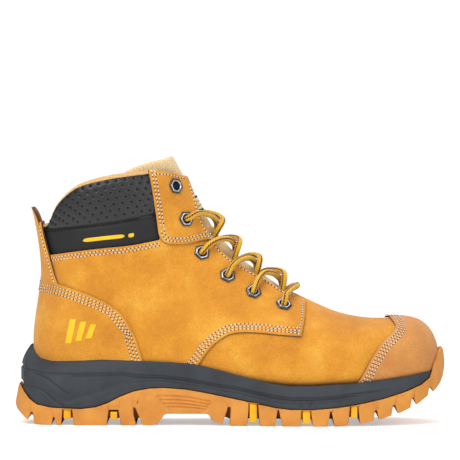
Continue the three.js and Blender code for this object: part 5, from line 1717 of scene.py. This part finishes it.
def outsole():
    """Slices across the sole. A slice's floor is the side view's lower line, lifted inside a gap
    to the gap's floor; its sides follow the plan. Inside a gap the slice is sheared so that a
    slanted gap leans; near a gap and along the bottom the edges are rounded off."""
    x = outsole_stations()
    loop, _ = plan_loop(0.0)
    sides = []
    for sign in (-1, 1):
        on = loop[loop[:, 1] * sign > 0]
        on = on[np.argsort(on[:, 0])]
        sides.append(np.interp(x, on[:, 0], on[:, 1], left=0.4 * sign, right=0.4 * sign))
    y_out, y_in = sides
    ground = np.interp(x, *np.array(OUTSOLE_LOW).T)
    top = np.interp(x, *np.array(OUTSOLE_TOP).T)
    floor = ground.copy()
    lean, depth_in = np.zeros(len(x)), np.zeros(len(x))
    weight, ceiling = np.full(len(x), 1e-6), 1e-6 * (ground + top) / 2
    for back, front, floor_back, floor_front, high in MOUTHS:
        wall = np.minimum(np.abs(x - back), np.abs(x - front))
        in_groove = (x > back - 1e-6) & (x < front + 1e-6)
        middle_mouth, middle_floor = (back + front) / 2, (floor_back + floor_front) / 2
        half_mouth, half_floor = (front - back) / 2, (floor_front - floor_back) / 2
        t = np.clip((half_mouth - np.abs(x - middle_mouth)) / 0.4, 0, 1)
        lift = np.where(in_groove, t, 0)
        floor = np.maximum(floor, ground + (high - ground) * lift)
        reach = np.exp(-(np.maximum(np.abs(x - middle_mouth) - half_mouth, 0) / 1.6) ** 2)
        shear = (middle_floor - middle_mouth) + np.where(
            in_groove, (half_floor / half_mouth - 1) * (x - middle_mouth), 0)
        pinch = np.where(in_groove, 0, -(half_mouth - half_floor) * np.sign(x - middle_mouth))
        lean += reach * (shear + pinch)
        weight += reach
        ceiling += reach * high
        depth_in = np.maximum(depth_in, np.exp(-(wall / 0.45) ** 2))
    top = np.maximum(top, floor + 0.25)
    shoulder = np.maximum(top - 2.2 * ease((x - 143) / 3), floor + 0.25)
    rise = shoulder - floor
    ceiling = np.clip(ceiling / weight, ground + 1, top - 0.1)
    core = ground + np.minimum(floor - ground, 4.2)
    rows = []
    corner = np.minimum(0.9, rise * 0.3)
    across = np.linspace(-1, 1, 51)
    arch = ease((x + 50) / 4) * ease((-12 - x) / 4)
    wander = 0.36 + 0.05 * np.sin(x / 5.5)
    narrow = np.minimum(1, np.maximum(y_in - y_out, 0.8) / 2)
    corner = np.minimum(corner, narrow * 0.6)

    def row(y, z):
        up = np.clip((z - ground) / (ceiling - ground), 0, 1)
        beyond = np.clip((z - ceiling) / np.maximum(top - ceiling, 0.5), 0, 1)
        rows.append(np.stack([x + lean * up * (1 - beyond), y, z], -1))

    for s in across:
        deep = ease((abs(s) - 0.66) / 0.08)
        channel = 3.2 * (1 - arch) * np.exp(-((abs(s) - wander) / 0.04) ** 2)
        row((y_out + corner) * (1 - s) / 2 + (y_in - corner) * (1 + s) / 2,
            np.minimum(np.maximum(core + (floor - core) * deep, ground + channel), top - 0.3))
    wall_v = np.linspace(0, 1, 40)

    def side(edge, sign, up):
        for v in (wall_v if up else wall_v[::-1]):
            z = floor + corner * 0.7 + (rise - corner * 0.7 - corner * 0.4) * v
            cut = np.zeros(len(x))
            for rib in ARCH_RIBS:
                cut += 0.95 * np.exp(-(line_distance(x, z, rib) / 0.6) ** 2)
            cut += 0.42 * depth_in * (1 - v) ** 0.3
            bulge = 0.5 * np.sin(PI * np.clip(v, 0, 1)) - 0.15
            cut = np.minimum(cut, narrow * 1.2)
            row(edge - sign * (cut - bulge * narrow * 0.5), z)

    row(y_in - corner * 0.3, floor + corner * 0.3)
    side(y_in, 1, True)
    for s in np.linspace(1, -1, 18):
        row((y_out + corner * 0.5) * (1 - s) / 2 + (y_in - corner * 0.5) * (1 + s) / 2,
            shoulder + (top - shoulder) * (1 - s ** 4))
    side(y_out, -1, False)
    row(y_out + corner * 0.3, floor + corner * 0.3)
    verts, faces = loft(np.array(rows).transpose(1, 0, 2))
    build("outsole_tread", verts, faces, gum, slot="gum_rubber", stands_for=["outsole"], crisp=52)
    return x, y_out, y_in


SOLE_X, SOLE_OUT, SOLE_IN = outsole()


def cushion_blocks():
    """The yellow cushions: bars across the tread with rounded corners. Each section is a
    rectangle whose corners are quarter circles; the bar waists in a little at mid height."""
    for i, (back, front, low, high) in enumerate(
            [(-117.3, -111.8, 4.4, 11.3), (-84.4, -79.2, 3.6, 9.7), (13.6, 19.2, 2.4, 16.4),
             (50.7, 56.5, 1.6, 11.3), (84.6, 89.5, 5.6, 14.5)]):
        angles = round_angles(40)
        box = np.stack([np.cos(angles), np.sin(angles)], -1)
        box = np.sign(box) * np.abs(box) ** 0.28
        waist = 1 - 0.07 * np.cos(box[:, 1] * PI / 2)
        half_x, half_z = (front - back) / 2, (high - low) / 2
        section = np.stack([(front + back) / 2 + half_x * box[:, 0] * waist,
                            (high + low) / 2 + half_z * box[:, 1]], -1)
        middle = section.mean(0)
        y = [np.interp((back + front) / 2, SOLE_X, side) for side in (SOLE_OUT, SOLE_IN)]
        y_list = np.concatenate([[y[0] + 1.0, y[0] + 1.1, y[0] + 1.5],
                                 np.linspace(y[0] + 3, y[1] - 3, 20),
                                 [y[1] - 1.5, y[1] - 1.1, y[1] - 1.0]])
        size = np.concatenate([[0.82, 0.93, 1], np.ones(20), [1, 0.93, 0.82]])
        rows = np.stack([np.concatenate([(middle + (section - middle) * s)[:, :1],
                                         np.full((40, 1), yy),
                                         (middle + (section - middle) * s)[:, 1:]], -1)
                         for yy, s in zip(y_list, size)])
        verts, faces = loft(rows)
        build("cushion_%d" % (i + 1), verts, faces, yellow_rubber, slot="insert_yellow",
              stands_for=["cushion_insert_%d" % (i + 1)])


cushion_blocks()

# ---- Parts shown as made --------------------------------------------------------------------

KEPT = {"steel_toecap": cap_paint, "toecap_edge_strip": black_rubber, "heel_counter": stiffener,
        "steel_midsole_plate": steel, "insole_board": board, "aglet": clear_sleeve,
        "washer": gunmetal}
for obj in bpy.data.objects:
    for key, finish_ in KEPT.items():
        if obj.type == "MESH" and key in obj.name:
            obj.data.materials.clear()
            obj.data.materials.append(finish_)

# ---- Floor, light, camera -------------------------------------------------------------------

def studio():
    """A white table, three soft lights, and air that looks pure white but lights softly."""
    table = bpy.data.meshes.new("studio_floor")
    reach = 1.3
    table.from_pydata([(-reach, -reach, 0), (reach, -reach, 0), (reach, reach, 0),
                       (-reach, reach, 0)], [], [(0, 1, 2, 3)])
    paper, tree, shader, at = start("white_table", Roughness=0.4, Specular_IOR_Level=0.4)
    shader.inputs["Emission Color"].default_value = (1, 1, 1, 1)
    seen = add(tree, "ShaderNodeLightPath")
    glow = add(tree, "ShaderNodeMapRange", {"Value": seen.outputs["Is Camera Ray"],
                                            "To Min": 0.0, "To Max": 0.42})
    tree.links.new(glow.outputs["Result"], shader.inputs["Emission Strength"])
    soft = noise(tree, at, 60, 2.0, 0.5)
    tree.links.new(ramp(tree, soft, [(0.3, "#F9F9F9"), (0.7, "#FBFBFB")]),
                   shader.inputs["Base Color"])
    table.materials.append(paper)
    floor = bpy.data.objects.new("studio_floor", table)
    bpy.context.scene.collection.objects.link(floor)
    world = bpy.data.worlds.new("studio_air")
    bpy.context.scene.world = world
    world.use_nodes = True
    air = world.node_tree.nodes["Background"]
    air.inputs["Color"].default_value = (1, 1, 1, 1)
    seen = world.node_tree.nodes.new("ShaderNodeLightPath")
    strength = world.node_tree.nodes.new("ShaderNodeMapRange")
    strength.inputs["To Min"].default_value = 0.46
    strength.inputs["To Max"].default_value = 1.05
    world.node_tree.links.new(seen.outputs["Is Camera Ray"], strength.inputs["Value"])
    world.node_tree.links.new(strength.outputs["Result"], air.inputs["Strength"])
    bpy.context.scene.view_settings.view_transform = "Standard"
    for name, place, power, size in (("key_softbox", (-0.6, -1.1, 1.2), 16.5, 0.9),
                                     ("fill_softbox", (0.9, -1.0, 0.6), 4.5, 0.9),
                                     ("top_softbox", (0.1, 0.4, 1.3), 8, 1.2)):
        lamp = bpy.data.lights.new(name, "AREA")
        lamp.energy, lamp.size = power, size
        light = bpy.data.objects.new(name, lamp)
        light.location = place
        aim = Vector((0, 0, 0.08)) - Vector(place)
        light.rotation_euler = aim.to_track_quat("-Z", "Y").to_euler()
        bpy.context.scene.collection.objects.link(light)


def side_camera():
    """A long lens square to the outer side, a little above the ground."""
    lens = bpy.data.cameras.new("side_lens")
    lens.lens, lens.sensor_width = 350, 36
    lens.clip_start, lens.clip_end = 0.1, 20
    camera = bpy.data.objects.new("side_camera", lens)
    aim = Vector((0.0, 0.0, 0.1366))
    away, rise = 3.185, math.radians(1.3)
    camera.location = aim + Vector((0, -away * math.cos(rise), away * math.sin(rise)))
    camera.rotation_euler = (aim - camera.location).to_track_quat("-Z", "Y").to_euler()
    bpy.context.scene.collection.objects.link(camera)
    bpy.context.scene.camera = camera


studio()
side_camera()
